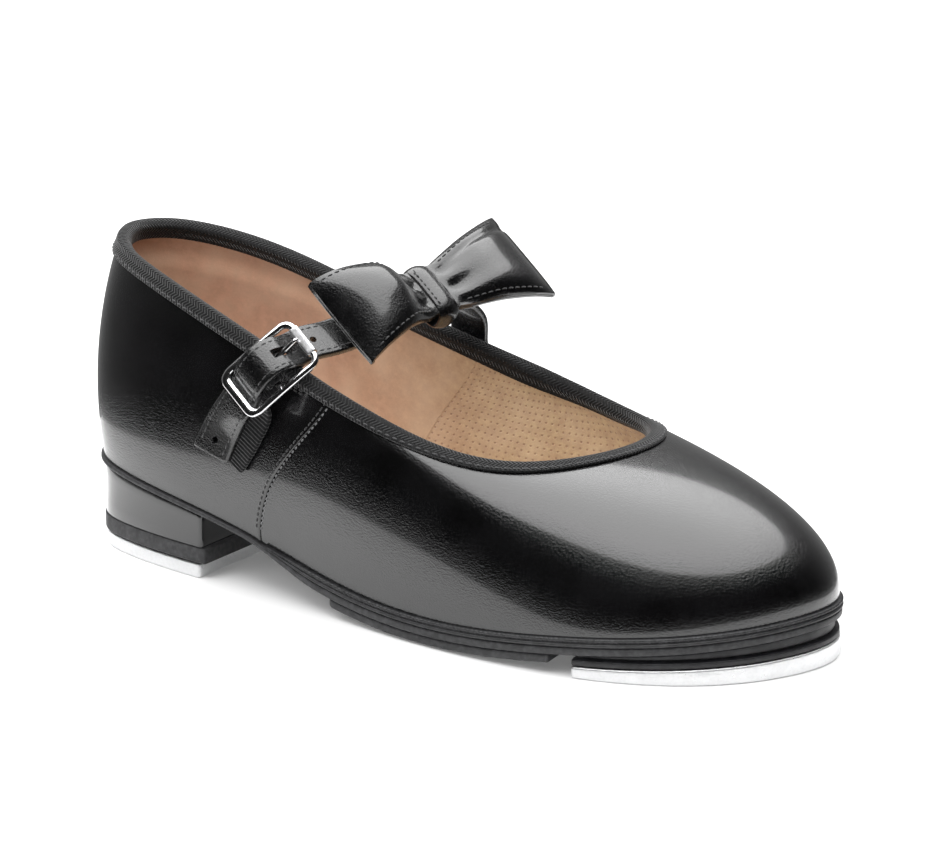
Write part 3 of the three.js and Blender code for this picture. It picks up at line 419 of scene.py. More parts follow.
def stitches(name, rows, material, pitch, length, radius, body="shoe", slot="black_upper"):
    """Sewn thread: one short rounded stitch after another along each row of (points, outward)."""
    parts = []
    turn = np.linspace(0, 2 * math.pi, 6, endpoint=False)
    for path, outward in rows:
        run = running_length(path)
        starts = np.arange(pitch / 2, run[-1] - pitch / 2, pitch)
        for start in starts:
            at = start + length * np.array([-0.5, -0.44, -0.25, 0, 0.25, 0.44, 0.5])
            grow = np.array([0.25, 0.75, 1, 1, 1, 0.75, 0.25])
            rise = np.array([-0.75, -0.1, 0.5, 0.7, 0.5, -0.1, -0.75])
            centre = along(path, run, at)
            out = unit(along(outward, run, at))
            tangent = unit(centre[-1] - centre[0])
            side = unit(np.cross(out, tangent))
            centre = centre + out * (rise * radius)[:, None]
            ring = (centre[:, None] + grow[:, None, None] * radius
                    * (np.cos(turn)[None, :, None] * side[:, None] * 1.15
                       + np.sin(turn)[None, :, None] * out[:, None]))
            parts.append(tube_part(ring))
    piece = unite_parts(name, parts, material, 60)
    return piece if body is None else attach(piece, body)


def carve(piece, tools):
    """Cuts closed tool objects out of a piece and deletes them."""
    for tool in tools:
        cut = piece.modifiers.new("cut", "BOOLEAN")
        cut.operation = "DIFFERENCE"
        cut.solver = "EXACT"
        cut.object = tool
        bpy.context.view_layer.update()
        graph = bpy.context.evaluated_depsgraph_get()
        carved = bpy.data.meshes.new_from_object(piece.evaluated_get(graph))
        piece.modifiers.remove(cut)
        piece.data = carved
        bpy.data.objects.remove(tool)
    piece.data.shade_smooth()
    piece.data.set_sharp_from_angle(angle=math.radians(40))
    return piece


def dress(piece, body, slot, *nodes):
    """Puts a piece on its body and hides the nodes it stands for; slot is not used."""
    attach(piece, body)
    if nodes:
        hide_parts(*nodes)
    return piece


# ---------------------------------------------------------------- materials
class Finish:
    """A Principled material built up from noise, bump and the piece's own coordinates."""

    def __init__(self, name, colour, roughness, **sockets):
        self.material = bpy.data.materials.new(name)
        self.material.use_nodes = True
        self.tree = self.material.node_tree
        self.shader = self.tree.nodes["Principled BSDF"]
        self.shader.inputs["Base Color"].default_value = (*colour, 1)
        self.shader.inputs["Roughness"].default_value = roughness
        for socket, value in sockets.items():
            self.shader.inputs[socket.replace("_", " ")].default_value = value
        self.place = self.add("ShaderNodeTexCoord").outputs["Object"]
        self.normal = None

    def add(self, kind, inputs=(), **settings):
        node = self.tree.nodes.new(kind)
        for key, value in settings.items():
            setattr(node, key, value)
        for key, value in dict(inputs).items():
            socket = node.inputs[key]
            if isinstance(value, bpy.types.NodeSocket):
                self.tree.links.new(value, socket)
            else:
                socket.default_value = value
        return node

    def noise(self, scale, detail, roughness=0.5, place=None):
        made = self.add("ShaderNodeTexNoise", {"Vector": place or self.place, "Scale": scale,
                                               "Detail": detail, "Roughness": roughness})
        return made.outputs["Fac"]

    def cells(self, scale):
        made = self.add("ShaderNodeTexVoronoi", {"Vector": self.place, "Scale": scale})
        return made.outputs["Distance"]

    def own(self, x=1.0, y=1.0):
        """The piece's flat coordinates, in millimetres, scaled."""
        at = self.add("ShaderNodeAttribute", attribute_name="surface").outputs["Vector"]
        scaled = self.add("ShaderNodeVectorMath", {0: at, 1: (x, y, 1)}, operation="MULTIPLY")
        return scaled.outputs["Vector"]

    def math(self, operation, a, b=0.0):
        return self.add("ShaderNodeMath", {0: a, 1: b}, operation=operation).outputs[0]

    def spread(self, value, low, high, to_low, to_high):
        made = self.add("ShaderNodeMapRange", {"Value": value, "From Min": low, "From Max": high,
                                               "To Min": to_low, "To Max": to_high})
        return made.outputs["Result"]

    def blend_colour(self, share, a, b):
        made = self.tree.nodes.new("ShaderNodeMix")
        made.data_type = "RGBA"
        for socket, value in ((made.inputs[0], share), (made.inputs[6], a), (made.inputs[7], b)):
            if isinstance(value, bpy.types.NodeSocket):
                self.tree.links.new(value, socket)
            else:
                socket.default_value = value if isinstance(value, float) else (*value, 1)
        return made.outputs[2]

    def colour(self, source):
        self.tree.links.new(source, self.shader.inputs["Base Color"])

    def rough(self, source):
        self.tree.links.new(source, self.shader.inputs["Roughness"])

    def bump(self, height, distance, strength):
        """Adds relief; distance is its depth in millimetres."""
        inputs = {"Height": height, "Distance": distance * 0.001, "Strength": strength}
        if self.normal is not None:
            inputs["Normal"] = self.normal
        self.normal = self.add("ShaderNodeBump", inputs).outputs["Normal"]
        self.tree.links.new(self.normal, self.shader.inputs["Normal"])


def leather(name, grain, roughness, waves=1.0):
    """Black coated leather: fine pebble grain, faint waves, softer gloss where it is handled."""
    made = Finish(name, (0.0018, 0.0018, 0.002), roughness, Specular_IOR_Level=0.5, Coat_Weight=0.9,
                  Coat_Roughness=0.12)
    tone = made.noise(90, 4)
    made.colour(made.blend_colour(made.spread(tone, 0.35, 0.7, 0.0, 1.0), (0.0014, 0.0014, 0.0015),
                                  (0.0032, 0.0032, 0.0035)))
    made.rough(made.spread(made.noise(140, 5, 0.6), 0.3, 0.7, roughness - 0.05, roughness + 0.07))
    made.bump(made.noise(45, 2), 0.35 * waves, 0.5)
    made.bump(made.cells(2300), 0.035 * grain, 0.6)
    made.bump(made.noise(5200, 3), 0.03 * grain, 0.6)
    return made.material


def woven(name, colour, pitch, rows=0.0):
    """Matt black ribbed yarn; ribs lean one way and the other in turn where rows is their width."""
    made = Finish(name, colour, 0.8, Sheen_Weight=0.25, Sheen_Roughness=0.4, Specular_IOR_Level=0.25)
    made.colour(made.blend_colour(made.spread(made.noise(1500, 4), 0.35, 0.7, 0.0, 1.0),
                                  tuple(c * 0.5 for c in colour), tuple(c * 1.9 for c in colour)))
    flat = made.add("ShaderNodeSeparateXYZ", {"Vector": made.own()})
    run, across = flat.outputs["X"], flat.outputs["Y"]
    if rows:
        lean = made.math("PINGPONG", across, rows)
        run = made.math("ADD", run, made.math("MULTIPLY", lean, 0.9))
    rib = made.math("SINE", made.math("MULTIPLY", run, 2 * math.pi / pitch))
    made.bump(made.spread(rib, -0.8, 0.6, 0.0, 1.0), 0.16, 0.9)
    made.bump(made.noise(4000, 3), 0.06, 0.8)
    return made.material


def lining(name, dots):
    """Brushed tan lining, ruddier towards the heel and sandier towards the toe."""
    made = Finish(name, (0.36, 0.2, 0.115), 0.88, Sheen_Weight=0.35, Sheen_Roughness=0.5,
                  Specular_IOR_Level=0.15)
    split = made.add("ShaderNodeSeparateXYZ", {"Vector": made.place}).outputs["X"]
    drift = made.math("ADD", split, made.math("MULTIPLY", made.noise(30, 3), 0.03))
    front = made.spread(drift, 0.03, 0.085, 0.0, 1.0)
    base = made.blend_colour(front, (0.45, 0.262, 0.175), (0.51, 0.38, 0.23))
    nap = made.spread(made.noise(480, 5, 0.7), 0.3, 0.72, 0.0, 1.0)
    base = made.blend_colour(made.math("MULTIPLY", nap, 0.75), base, (0.3, 0.18, 0.115))
    patch = made.spread(made.noise(120, 3), 0.4, 0.7, 0.0, 0.35)
    base = made.blend_colour(patch, base, (0.6, 0.45, 0.32))
    made.bump(made.noise(1800, 4, 0.7), 0.08, 0.7)
    if dots:
        cell = made.add("ShaderNodeVectorMath", {0: made.own(1 / 1.55, 1 / 1.55)}, operation="FRACTION")
        away = made.add("ShaderNodeVectorMath", {0: cell.outputs["Vector"], 1: (0.5, 0.5, 0.0)},
                        operation="DISTANCE").outputs["Value"]
        # Painted shade: each perforation's colour is darkened for the shade inside the hole, on top of its
        # bump.
        hole = made.spread(away, 0.1, 0.17, 1.0, 0.0)
        base = made.blend_colour(made.math("MULTIPLY", hole, 0.6), base, (0.24, 0.13, 0.085))
        made.bump(made.spread(away, 0.1, 0.24, 0.0, 1.0), 0.12, 0.8)
    made.colour(base)
    return made.material


def rubber(name, colour=(0.02, 0.02, 0.021), roughness=0.5, grit=1.0):
    """Matt black rubber or board with a fine grit."""
    made = Finish(name, colour, roughness, Specular_IOR_Level=0.45)
    made.colour(made.blend_colour(made.spread(made.noise(900, 4), 0.4, 0.75, 0.0, 1.0), colour,
                                  tuple(c * 2.2 for c in colour)))
    made.rough(made.spread(made.noise(260, 5), 0.3, 0.7, roughness - 0.1, roughness + 0.12))
    made.bump(made.noise(2600, 4, 0.7), 0.06 * grit, 0.8)
    return made.material


def metal(name, colour, roughness, grit, scratches=0.3):
    """Bare metal: cloudy polish, faint drawn lines and a cast or rolled grit."""
    made = Finish(name, colour, roughness, Metallic=1.0)
    made.rough(made.spread(made.noise(420, 5, 0.7), 0.3, 0.72, roughness * 0.75, roughness * 1.35))
    made.colour(made.blend_colour(made.spread(made.noise(1300, 4), 0.45, 0.75, 0.0, 0.25), colour,
                                  tuple(c * 0.75 for c in colour)))
    stretched = made.add("ShaderNodeMapping", {"Vector": made.place, "Scale": (120, 2600, 900)})
    made.bump(made.noise(1, 2, 0.5, stretched.outputs["Vector"]), 0.02 * scratches, 0.6)
    made.bump(made.noise(2400, 4, 0.75), 0.05 * grit, 0.7)
    return made.material


def plain_board(name, colour, roughness, scale):
    """Inner boards, cloth and cork: a mottled matt stock."""
    made = Finish(name, colour, roughness)
    made.colour(made.blend_colour(made.spread(made.noise(scale, 5, 0.7), 0.35, 0.7, 0.0, 1.0),
                                  tuple(c * 0.6 for c in colour), tuple(min(1, c * 1.25) for c in colour)))
    made.bump(made.noise(scale * 2, 4), 0.08, 0.6)
    return made.material


UPPER_SKIN = leather("upper_leather", 2.2, 0.18)
STRAP_SKIN = leather("strap_leather", 4.5, 0.26, 0.9)
BOW_SKIN = leather("bow_leather", 2.6, 0.24, 1.6)
HEEL_SKIN = leather("heel_cover", 0.25, 0.2, 1.6)
TAPE = woven("ribbed_tape", (0.006, 0.006, 0.0063), TAPE_RIB, 1.0)
ELASTIC_WEAVE = woven("elastic_weave", (0.006, 0.006, 0.0065), 0.8)
LINING_NAP = lining("brushed_lining", False)
LINING_DOTS = lining("perforated_lining", True)
WELT_RUBBER = rubber("welt_rubber", (0.016, 0.016, 0.017), 0.38, 1.6)
SOLE_RUBBER = rubber("sole_rubber")
LIFT_RUBBER = rubber("lift_rubber", (0.024, 0.024, 0.025), 0.62, 1.2)
BOARD = rubber("black_board", (0.008, 0.008, 0.009), 0.42, 0.4)
ALUMINIUM = metal("tap_aluminium", (0.84, 0.845, 0.85), 0.34, 2.6)
CHROME = metal("buckle_chrome", (0.9, 0.9, 0.91), 0.15, 0.03, 0.1)
SLEEVE_CHROME = metal("sleeve_chrome", (0.93, 0.93, 0.94), 0.34, 0.4)
STEEL = metal("bright_steel", (0.52, 0.52, 0.53), 0.3, 0.4)
THREAD = Finish("thread", (0.018, 0.018, 0.019), 0.5, Sheen_Weight=0.3)
THREAD.bump(THREAD.noise(6000, 2), 0.05, 0.8)
THREAD = THREAD.material
# Pale grey seam thread: its grey is a painted highlight for the light line along the side seam.
SEAM_HIGHLIGHT_THREAD = plain_board("seam_highlight_thread", (0.16, 0.16, 0.165), 0.6, 3000)
HIDDEN = {
    "stiffener": plain_board("resin_cloth", (0.66, 0.6, 0.5), 0.8, 1400),
    "fibre_board": plain_board("insole_fibre", (0.33, 0.2, 0.1), 0.85, 1100),
    "cork": plain_board("cork_filler", (0.42, 0.26, 0.13), 0.9, 500),
    "spring_steel": STEEL,
}


# ---------------------------------------------------------------- upper panels
def edge_spread(count):
    """Column places from 0 to 1, closer together at both ends for rounded edges."""
    ease = np.array([0, 0.0003, 0.0008, 0.0015, 0.0025, 0.0045])
    middle = np.linspace(ease[-1], 1 - ease[-1], count)[1:-1]
    return np.concatenate([ease, middle, (1 - ease)[::-1]])


def rounded_drop(distance, radius):
    """How far a rounded edge falls at a distance in from its end."""
    return radius - np.sqrt(np.maximum(radius ** 2 - np.maximum(radius - distance, 0) ** 2, 0))


def upper_panel(name, share_low, share_high, columns, nodes):
    """Leather panel between two seams: wall, rounded seam edges and lasting margin turned in."""
    rows = np.concatenate([[0, 0.008, 0.02, 0.035], np.linspace(0.05, 0.985, 58), [0.995]])
    place = edge_spread(columns)
    low, high = share_low(rows), share_high(rows)
    u = low[None, :] + place[:, None] * (high - low)[None, :]
    v = np.broadcast_to(rows, u.shape)
    from_edge = np.minimum(place, 1 - place)[:, None] * (high - low)[None, :] * SIDE_LENGTH
    outside = off_face(u, v, -rounded_drop(from_edge, SKIN_EDGE))
    inside = off_face(u, np.maximum(v, 0.03), -UPPER * np.ones(u.shape))
    foot, out = feather(u[:, 0])
    margin_out, margin_in = [], []
    for inset in (LASTING_MARGIN, LASTING_MARGIN / 2, 1.2):
        turned = foot - out * inset
        height = sole_height(foot[:, 0])
        margin_out.append(np.column_stack([turned, height]))
        margin_in.append(np.column_stack([foot - out * max(inset, 1.6), height + UPPER]))
    outside = np.concatenate([np.stack(margin_out, 1), outside], 1)
    inside = np.concatenate([np.stack(margin_in, 1), inside], 1)
    return dress(shell(name, outside, inside, UPPER_SKIN), "shoe", "black_upper", *nodes)


upper_panel("vamp_leather", lambda v: seam(v) + SEAM_GAP, lambda v: 2 - seam(v) - SEAM_GAP, 300, ["vamp"])
upper_panel("quarter_leather_outer", lambda v: SEAM_GAP + 0 * v, lambda v: seam(v) - SEAM_GAP, 130,
            ["quarter_lateral"])
upper_panel("quarter_leather_inner", lambda v: 2 - seam(v) + SEAM_GAP, lambda v: 2 - SEAM_GAP + 0 * v, 130,
            ["quarter_medial"])

# A row behind each side seam, one each side of the back seam, and two short bars below the rim on
# each quarter, where the strap and the elastic are held.
BOTH_SIDES = (1, -1)
seam_v = np.linspace(0.06, 0.955, 120)
back_v = np.linspace(0.1, 0.955, 100)
bar_u = np.linspace(0.368, 0.42, 30)
seam_rows = [skin_row(side * (seam(seam_v) - 0.005), seam_v) for side in BOTH_SIDES]
seam_rows += [skin_row(shift, back_v) for shift in (-0.0085, 0.0085)]
seam_rows += [skin_row(side * bar_u, v) for side in BOTH_SIDES for v in (0.885, 0.9)]
stitches("upper_stitches", seam_rows, THREAD, *SEAM_THREAD)
# Ticks in each side seam's groove, coloured pale grey as a painted highlight of the seam's light line.
edge_rows = [skin_row(side * (seam(seam_v) + 0.0014), seam_v, -0.08) for side in BOTH_SIDES]
stitches("seam_highlight_thread", edge_rows, SEAM_HIGHLIGHT_THREAD, *EDGE_TICKS)


# ---------------------------------------------------------------- rim tape
def rim_stations(count):
    """Even shares of the rim by length."""
    u = np.linspace(0, 2, 1201)
    length = running_length(face(u, 1.0))
    return np.interp(np.arange(count) / count * length[-1], length, u), length[-1]


RIM_COUNT = 360
rim_u, RIM_LENGTH = rim_stations(RIM_COUNT)
rim_top = face(rim_u, 1.0)
rim_out = face_normal(rim_u, 1.0)
rim_run = unit(face(rim_u + 0.004, 1.0) - face(rim_u - 0.004, 1.0))


def march_down():
    """Surface places every half millimetre straight down from the rim."""
    a, b = rim_u.copy(), np.ones(RIM_COUNT)
    places = [(a, b)]
    for _ in range(10):
        run = (face(a + 0.004, b) - face(a - 0.004, b)) / 0.008
        rise = (face(a, b) - face(a, b - 0.004)) / 0.004
        down = unit(np.cross(rim_run, np.cross(run, rise)))
        rr, rs, ss = (run * run).sum(1), (run * rise).sum(1), (rise * rise).sum(1)
        dr, ds = (down * run).sum(1), (down * rise).sum(1)
        spread = rr * ss - rs * rs
        a = a + 0.5 * (dr * ss - ds * rs) / spread
        b = b + 0.5 * (ds * rr - dr * rs) / spread
        places.append((a, b))
    return np.stack([p[0] for p in places]), np.stack([p[1] for p in places])


MARCH_U, MARCH_V = march_down()
rim_lift = unit(rim_top - face(MARCH_U[1], MARCH_V[1]))


def off_rim(down, out):
    """Points at a depth below the rim and a distance off the upper, one for each station."""
    if down < 0:
        return rim_top - rim_lift * down + rim_out * out
    k = min(int(down / 0.5), 9)
    share = down / 0.5 - k
    a = mix(MARCH_U[k], MARCH_U[k + 1], share)
    b = mix(MARCH_V[k], MARCH_V[k + 1], share)
    return off_face(a, b, out * np.ones(RIM_COUNT))


def rounded_profile(low, high, top, bottom):
    """Loop of [down, out] round the tape: outer face, round top, inner face and back inside."""
    outer, inner = high + BINDING, low - BINDING
    middle, reach = (outer + inner) / 2, (outer - inner) / 2
    loop = [[d, outer] for d in (bottom - 0.12, 2.6, 2.2, 1.8, 1.3, 0.9, 0.4)]
    for angle in np.linspace(0.05, 0.95, 11) * math.pi:
        loop.append([0.3 - (0.3 - top) * math.sin(angle) ** 0.7, middle + reach * math.cos(angle)])
    loop += [[d, inner] for d in (0.4, 0.9, 1.4, 2, 2.6, bottom - 0.12)]
    loop += [[bottom, inner + 0.12], [bottom, low - 0.06], [2, low], [-0.15, low + 0.1]]
    loop += [[-0.15, high - 0.1], [2, high], [bottom, high + 0.06], [bottom, outer - 0.12]]
    return np.array(loop)


tape_loop = rounded_profile(-(UPPER + WALL_GAP + LINING + 0.15), 0.1, -0.75, TAPE_DEPTH)
tape_grid = refine(np.stack([off_rim(d, o) for d, o in tape_loop], 1), RIM_COUNT * 4)
loop_length = running_length(np.vstack([tape_loop, tape_loop[:1]]))[:-1]
rib_count = round(RIM_LENGTH / TAPE_RIB)
tape_run = np.arange(len(tape_grid)) / len(tape_grid) * rib_count * TAPE_RIB
tape_flat = np.zeros(tape_grid.shape)
tape_flat[..., 0] = tape_run[:, None]
tape_flat[..., 1] = loop_length[None, :]
tape = tube("rim_tape", tape_grid, TAPE, True, tape_flat, 50)
dress(tape, "shoe", "ribbed_binding", "topline_binding")
tape_row = refine(np.stack([off_rim(2.5, 0.1 + BINDING), rim_top], 1), RIM_COUNT * 2)[:, 0]
tape_out = refine(np.stack([rim_out, rim_out], 1), RIM_COUNT * 2)[:, 0]
stitches("tape_stitches", [(np.vstack([tape_row, tape_row[:1]]), np.vstack([tape_out, tape_out[:1]]))],
         THREAD, *TAPE_THREAD, slot="ribbed_binding")


# ---------------------------------------------------------------- linings
def lining_panel(name, first, last, columns, material, lap, nodes):
    """Lining between two seams, standing in over the stiffeners at the heel and toe."""
    rows = np.linspace(0.035, 0.992, 56)
    low, high = first(rows), last(rows)
    place = np.linspace(0, 1, columns)
    u = low[None, :] + place[:, None] * (high - low)[None, :]
    v = np.broadcast_to(rows, u.shape)
    gap = UPPER + WALL_GAP
    stiff = (STIFFENER + WALL_GAP) * (1 - smooth(0.76, 0.86, v))
    heel = 1 - smooth(0.27, 0.31, np.abs(np.mod(u + 1, 2) - 1))
    toe = 1 - smooth(0.2, 0.25, np.abs(u - 1))
    depth = gap + stiff * np.maximum(heel, toe) + lap
    outside, inside = off_face(u, v, -depth), off_face(u, v, -depth - LINING)
    flat = np.zeros(inside.shape)
    flat[..., 0] = running_length(inside[:, len(rows) // 2])[:, None]
    flat[..., 1] = np.cumsum(np.concatenate([np.zeros((columns, 1)), np.linalg.norm(
        np.diff(inside, axis=1), axis=2)], 1), 1)
    return dress(shell(name, outside, inside, material, surface=flat), "shoe", "tan_lining", *nodes)


lining_panel("toe_lining", seam, lambda v: 2 - seam(v), 240, LINING_DOTS, 0.0, ["vamp_lining"])
lining_panel("heel_lining", lambda v: -0.012 - seam(v), lambda v: seam(v) + 0.012, 200, LINING_NAP, 0.12,
             ["quarter_lining"])


# ---------------------------------------------------------------- sole parts
def feather_outline(inset, rear=None, rear_bow=0.0, front=None, front_bow=0.0):
    """Closed plan outline inset from the sole edge, cut across behind and ahead by bowed lines."""
    def cut(place, bow, y):
        return place - bow * (1 - (y / SOLE_HALF_WIDTH) ** 2)

    def cut_line(place, bow, first, last):
        y = np.linspace(first[1], last[1], 120)[1:-1]
        return np.column_stack([cut(place, bow, y), y])

    sides = []
    for low, high in ((0, 1), (2, 1)):
        foot, out = feather(np.linspace(low, high, 1500))
        side = foot - out * inset
        keep = np.ones(len(side), bool)
        if rear is not None:
            keep &= side[:, 0] > cut(rear, rear_bow, side[:, 1])
        if front is not None:
            keep &= side[:, 0] < cut(front, front_bow, side[:, 1])
        sides.append(side[keep])
    outer, inner = sides
    loop = [outer]
    if front is not None:
        loop.append(cut_line(front, front_bow, outer[-1], inner[-1]))
    loop.append(inner[::-1])
    if rear is not None:
        loop.append(cut_line(rear, rear_bow, inner[0], outer[0]))
    ring = np.concatenate(loop)
    ring = np.vstack([ring, ring[:1]])
    length = running_length(ring)
    count = int(length[-1] / OUTLINE_STEP)
    ring = along(ring, length, np.arange(count) / count * length[-1])
    for _ in range(3):
        ring = (np.roll(ring, 1, 0) + 2 * ring + np.roll(ring, -1, 0)) / 4
    return ring


def slab(name, ring, bottom, top, profile, material):
    """Plate over a plan outline. profile lists [inset, share of the height, shift] up the wall."""
    run = np.roll(ring, -1, 0) - np.roll(ring, 1, 0)
    inward = unit(np.column_stack([-run[:, 1], run[:, 0]]))
    centre = ring.mean(0)
    if ((centre - ring) * inward).sum() < 0:
        inward = -inward
    span = ring[:, 0].min(), ring[:, 0].max()
    room = (span[1] - span[0]) * 0.3
    heart = np.column_stack([np.clip(ring[:, 0], span[0] + room, span[1] - room),
                             np.full(len(ring), centre[1])])
    layers = []
    low_inset, high_inset = profile[0][0], profile[-1][0]
    shares = (1, 0.7, 0.4, 0.18, 0.06)

    def level(points, share, shift):
        x = points[:, 0]
        return np.column_stack([points, mix(bottom(x), top(x), share) + shift])

    for share in shares:
        layers.append(level(mix(ring + inward * low_inset, heart, share), profile[0][1], profile[0][2]))
    for inset, share, shift in profile:
        layers.append(level(ring + inward * inset, share, shift))
    for share in shares[::-1]:
        layers.append(level(mix(ring + inward * high_inset, heart, share), profile[-1][1], profile[-1][2]))
    grid = np.stack(layers)
    rows, columns = grid.shape[:2]
    faces = quads(rows, columns, 0, False, True).tolist()
    for edge, order in ((0, -1), (rows - 1, 1)):
        index = (edge * columns + np.arange(columns))[::order]
        half = columns // 2
        for k in range(half - 1):
            faces.append([index[k], index[k + 1], index[-2 - k], index[-1 - k]])
    return make_piece(name, grid.reshape(-1, 3), faces, material, None, 35)


def soft_edges(radius, steps=4):
    """Profile of a wall with rounded edges at the bottom and the top."""
    turn = np.linspace(0, math.pi / 2, steps)
    low = [[radius * (1 - math.sin(t)), 0, radius * (1 - math.cos(t))] for t in turn]
    high = [[radius * (1 - math.cos(t)), 1, -radius * (1 - math.sin(t))] for t in turn]
    return low + high


def welt_share(x):
    """0 behind, where the sole lies on the upper, to 1 ahead, where the welt is between them."""
    return smooth(52, 76, x)


def welt_top(x):
    return sole_height(x) - GAP


def sole_top(x):
    return welt_top(x) - (WELT + GAP) * welt_share(x)


def sole_bottom(x):
    return sole_top(x) - mix(OUTSOLE_AT_HEEL, OUTSOLE, welt_share(x))


def tap_top(x):
    return TOE_TAP + (np.asarray(x) - TOE_TAP_REAR) * TOE_TAP_SLOPE


def board_top(x):
    return tap_top(x) + GAP + TAP_BOARD


sock_ring = feather_outline(2.3)
sock = slab("sock", sock_ring, lambda x: sole_height(x) + UPPER + GAP + SOCK_UNDER,
            lambda x: sole_height(x) + UPPER + GAP + SOCK_OVER, soft_edges(0.2), LINING_NAP)
dress(sock, "shoe", "tan_lining", "sock_liner")


def welt_strip():
    """Rubber strip round the forepart with a wheeled upper bead over a plain lower one."""
    loop = np.array([[-6, 0], [0.4, 0], [0.72, 0.04], [0.88, 0.14], [0.9, 0.24], [0.84, 0.34],
                     [0.6, 0.42], [0.42, 0.46], [0.42, 0.52], [0.6, 0.57], [0.84, 0.66], [0.9, 0.76],
                     [0.86, 0.88], [0.66, 0.97], [0.3, 1.0], [-0.6, 1.0], [-6, 1.0]])
    wheel = np.array([0, 0, 0, 0, 0, 0, 0, 0, 0, 0.3, 0.8, 1, 1, 0.8, 0.3, 0, 0])
    foot, _ = feather(np.linspace(0, 2, 4001))
    u = np.linspace(0, 2, 4001)[foot[:, 0] > WELT_START]
    foot, _ = feather(u)
    length = running_length(foot)
    at = np.arange(0, length[-1], 0.22)
    u = np.interp(at, length, u)
    foot, out = feather(u)
    notch = 0.5 - 0.5 * np.cos(2 * math.pi * at / WELT_NOTCH)
    low, high = sole_top(foot[:, 0]) + GAP, welt_top(foot[:, 0])
    sections = np.empty((len(at), len(loop), 3))
    for k, (reach, share) in enumerate(loop):
        away = reach - 0.16 * wheel[k] * notch
        sections[:, k, :2] = foot + out * away[:, None]
        sections[:, k, 2] = mix(low, high, share) - 0.1 * wheel[k] * notch * (share > 0.9)
    return tube("welt_strip", sections, WELT_RUBBER, sharp=60)


dress(welt_strip(), "shoe", "sole_rubber", "welt")
HEEL_PROFILE = [[0.35, 0, 0], [0.08, 0, 0.1], [0, 0, 0.35], [0.12, 0.25, 0], [0.2, 0.5, 0],
                [0.12, 0.75, 0], [0, 1, -0.35], [0.08, 1, -0.1], [0.35, 1, 0]]


def level_at(height):
    return lambda x: height + 0 * x


def sole_plate(name, ring, bottom, top, profile, material, slot, node):
    """Plate of the sole or heel that stands for one node."""
    return dress(slab(name, ring, bottom, top, profile, material), "shoe", slot, node)


sole_plate("outsole_plate", feather_outline(-0.7), sole_bottom, sole_top, soft_edges(0.35), SOLE_RUBBER,
           "sole_rubber", "outsole")
sole_plate("half_sole_plate", feather_outline(-0.3, HALF_SOLE_REAR, 8, HALF_SOLE_FRONT, 3),
           lambda x: sole_bottom(x) - GAP - HALF_SOLE, lambda x: sole_bottom(x) - GAP,
           soft_edges(0.4), SOLE_RUBBER, "sole_rubber", "half_sole")
sole_plate("toe_wedge", feather_outline(0.8, TOE_TAP_REAR + 0.8, 4), lambda x: board_top(x) + GAP,
           lambda x: sole_bottom(x) - GAP, soft_edges(0.4), BOARD, "black_board", "toe_rubber_wedge")
sole_plate("tap_backing", feather_outline(-0.2, TOE_TAP_REAR, 4), lambda x: tap_top(x) + GAP,
           board_top, soft_edges(0.3), BOARD, "black_board", "toe_tap_board")
sole_plate("heel_body", feather_outline(0.2, front=HEEL_BREAST), level_at(LIFT_TOP + GAP),
           lambda x: sole_bottom(x) - GAP, HEEL_PROFILE, HEEL_SKIN, "heel_wrap", "heel_block")
sole_plate("top_lift", feather_outline(0, front=HEEL_BREAST + 0.8), level_at(LIFT_BOTTOM),
           level_at(LIFT_TOP), soft_edges(0.3), LIFT_RUBBER, "sole_rubber", "heel_top_lift")
toe_plate = slab("toe_plate", feather_outline(-0.4, TOE_TAP_REAR, 4), level_at(0), tap_top,
                 soft_edges(TAP_EDGE, 5), ALUMINIUM)
heel_plate = slab("heel_plate", feather_outline(0.3, front=HEEL_BREAST - 1), level_at(0),
                  level_at(HEEL_TAP), soft_edges(TAP_EDGE, 5), ALUMINIUM)

TAP_SCREWS = [[149, -19], [149, 17], [170, 1]]
HEEL_TAP_SCREWS = [[11, 0], [32, -13], [32, 13]]
SCREW_HEAD = 2.6
SCREW_FACE = 0.5


def lathe(name, x, y, profile, material):
    """Turned solid on a vertical axis from [height, radius] pairs."""
    sides = 32
    turn = np.linspace(0, 2 * math.pi, sides, endpoint=False)
    sections = np.empty((len(profile), sides, 3))
    for k, (z, radius) in enumerate(profile):
        sections[k] = np.column_stack([x + radius * np.cos(turn), y + radius * np.sin(turn),
                                       np.full(sides, z)])
    return tube(name, sections, material)


def cross_tool(x, y, z, arm, width):
    """Upright cross prism that cuts a screwdriver recess, its arms set askew."""
    corners = []
    for k in range(4):
        turn = k * math.pi / 2 + 0.1 * x
        ahead = np.array([math.cos(turn), math.sin(turn)])
        beside = np.array([-ahead[1], ahead[0]])
        corners += [ahead * arm - beside * width, ahead * arm + beside * width,
                    ahead * width + beside * width]
    corners = np.array(corners) + (x, y)
    sections = np.stack([np.column_stack([corners, np.full(12, z + dz)]) for dz in (-1.2, 0.75)])
    return tube("cross", sections, STEEL)


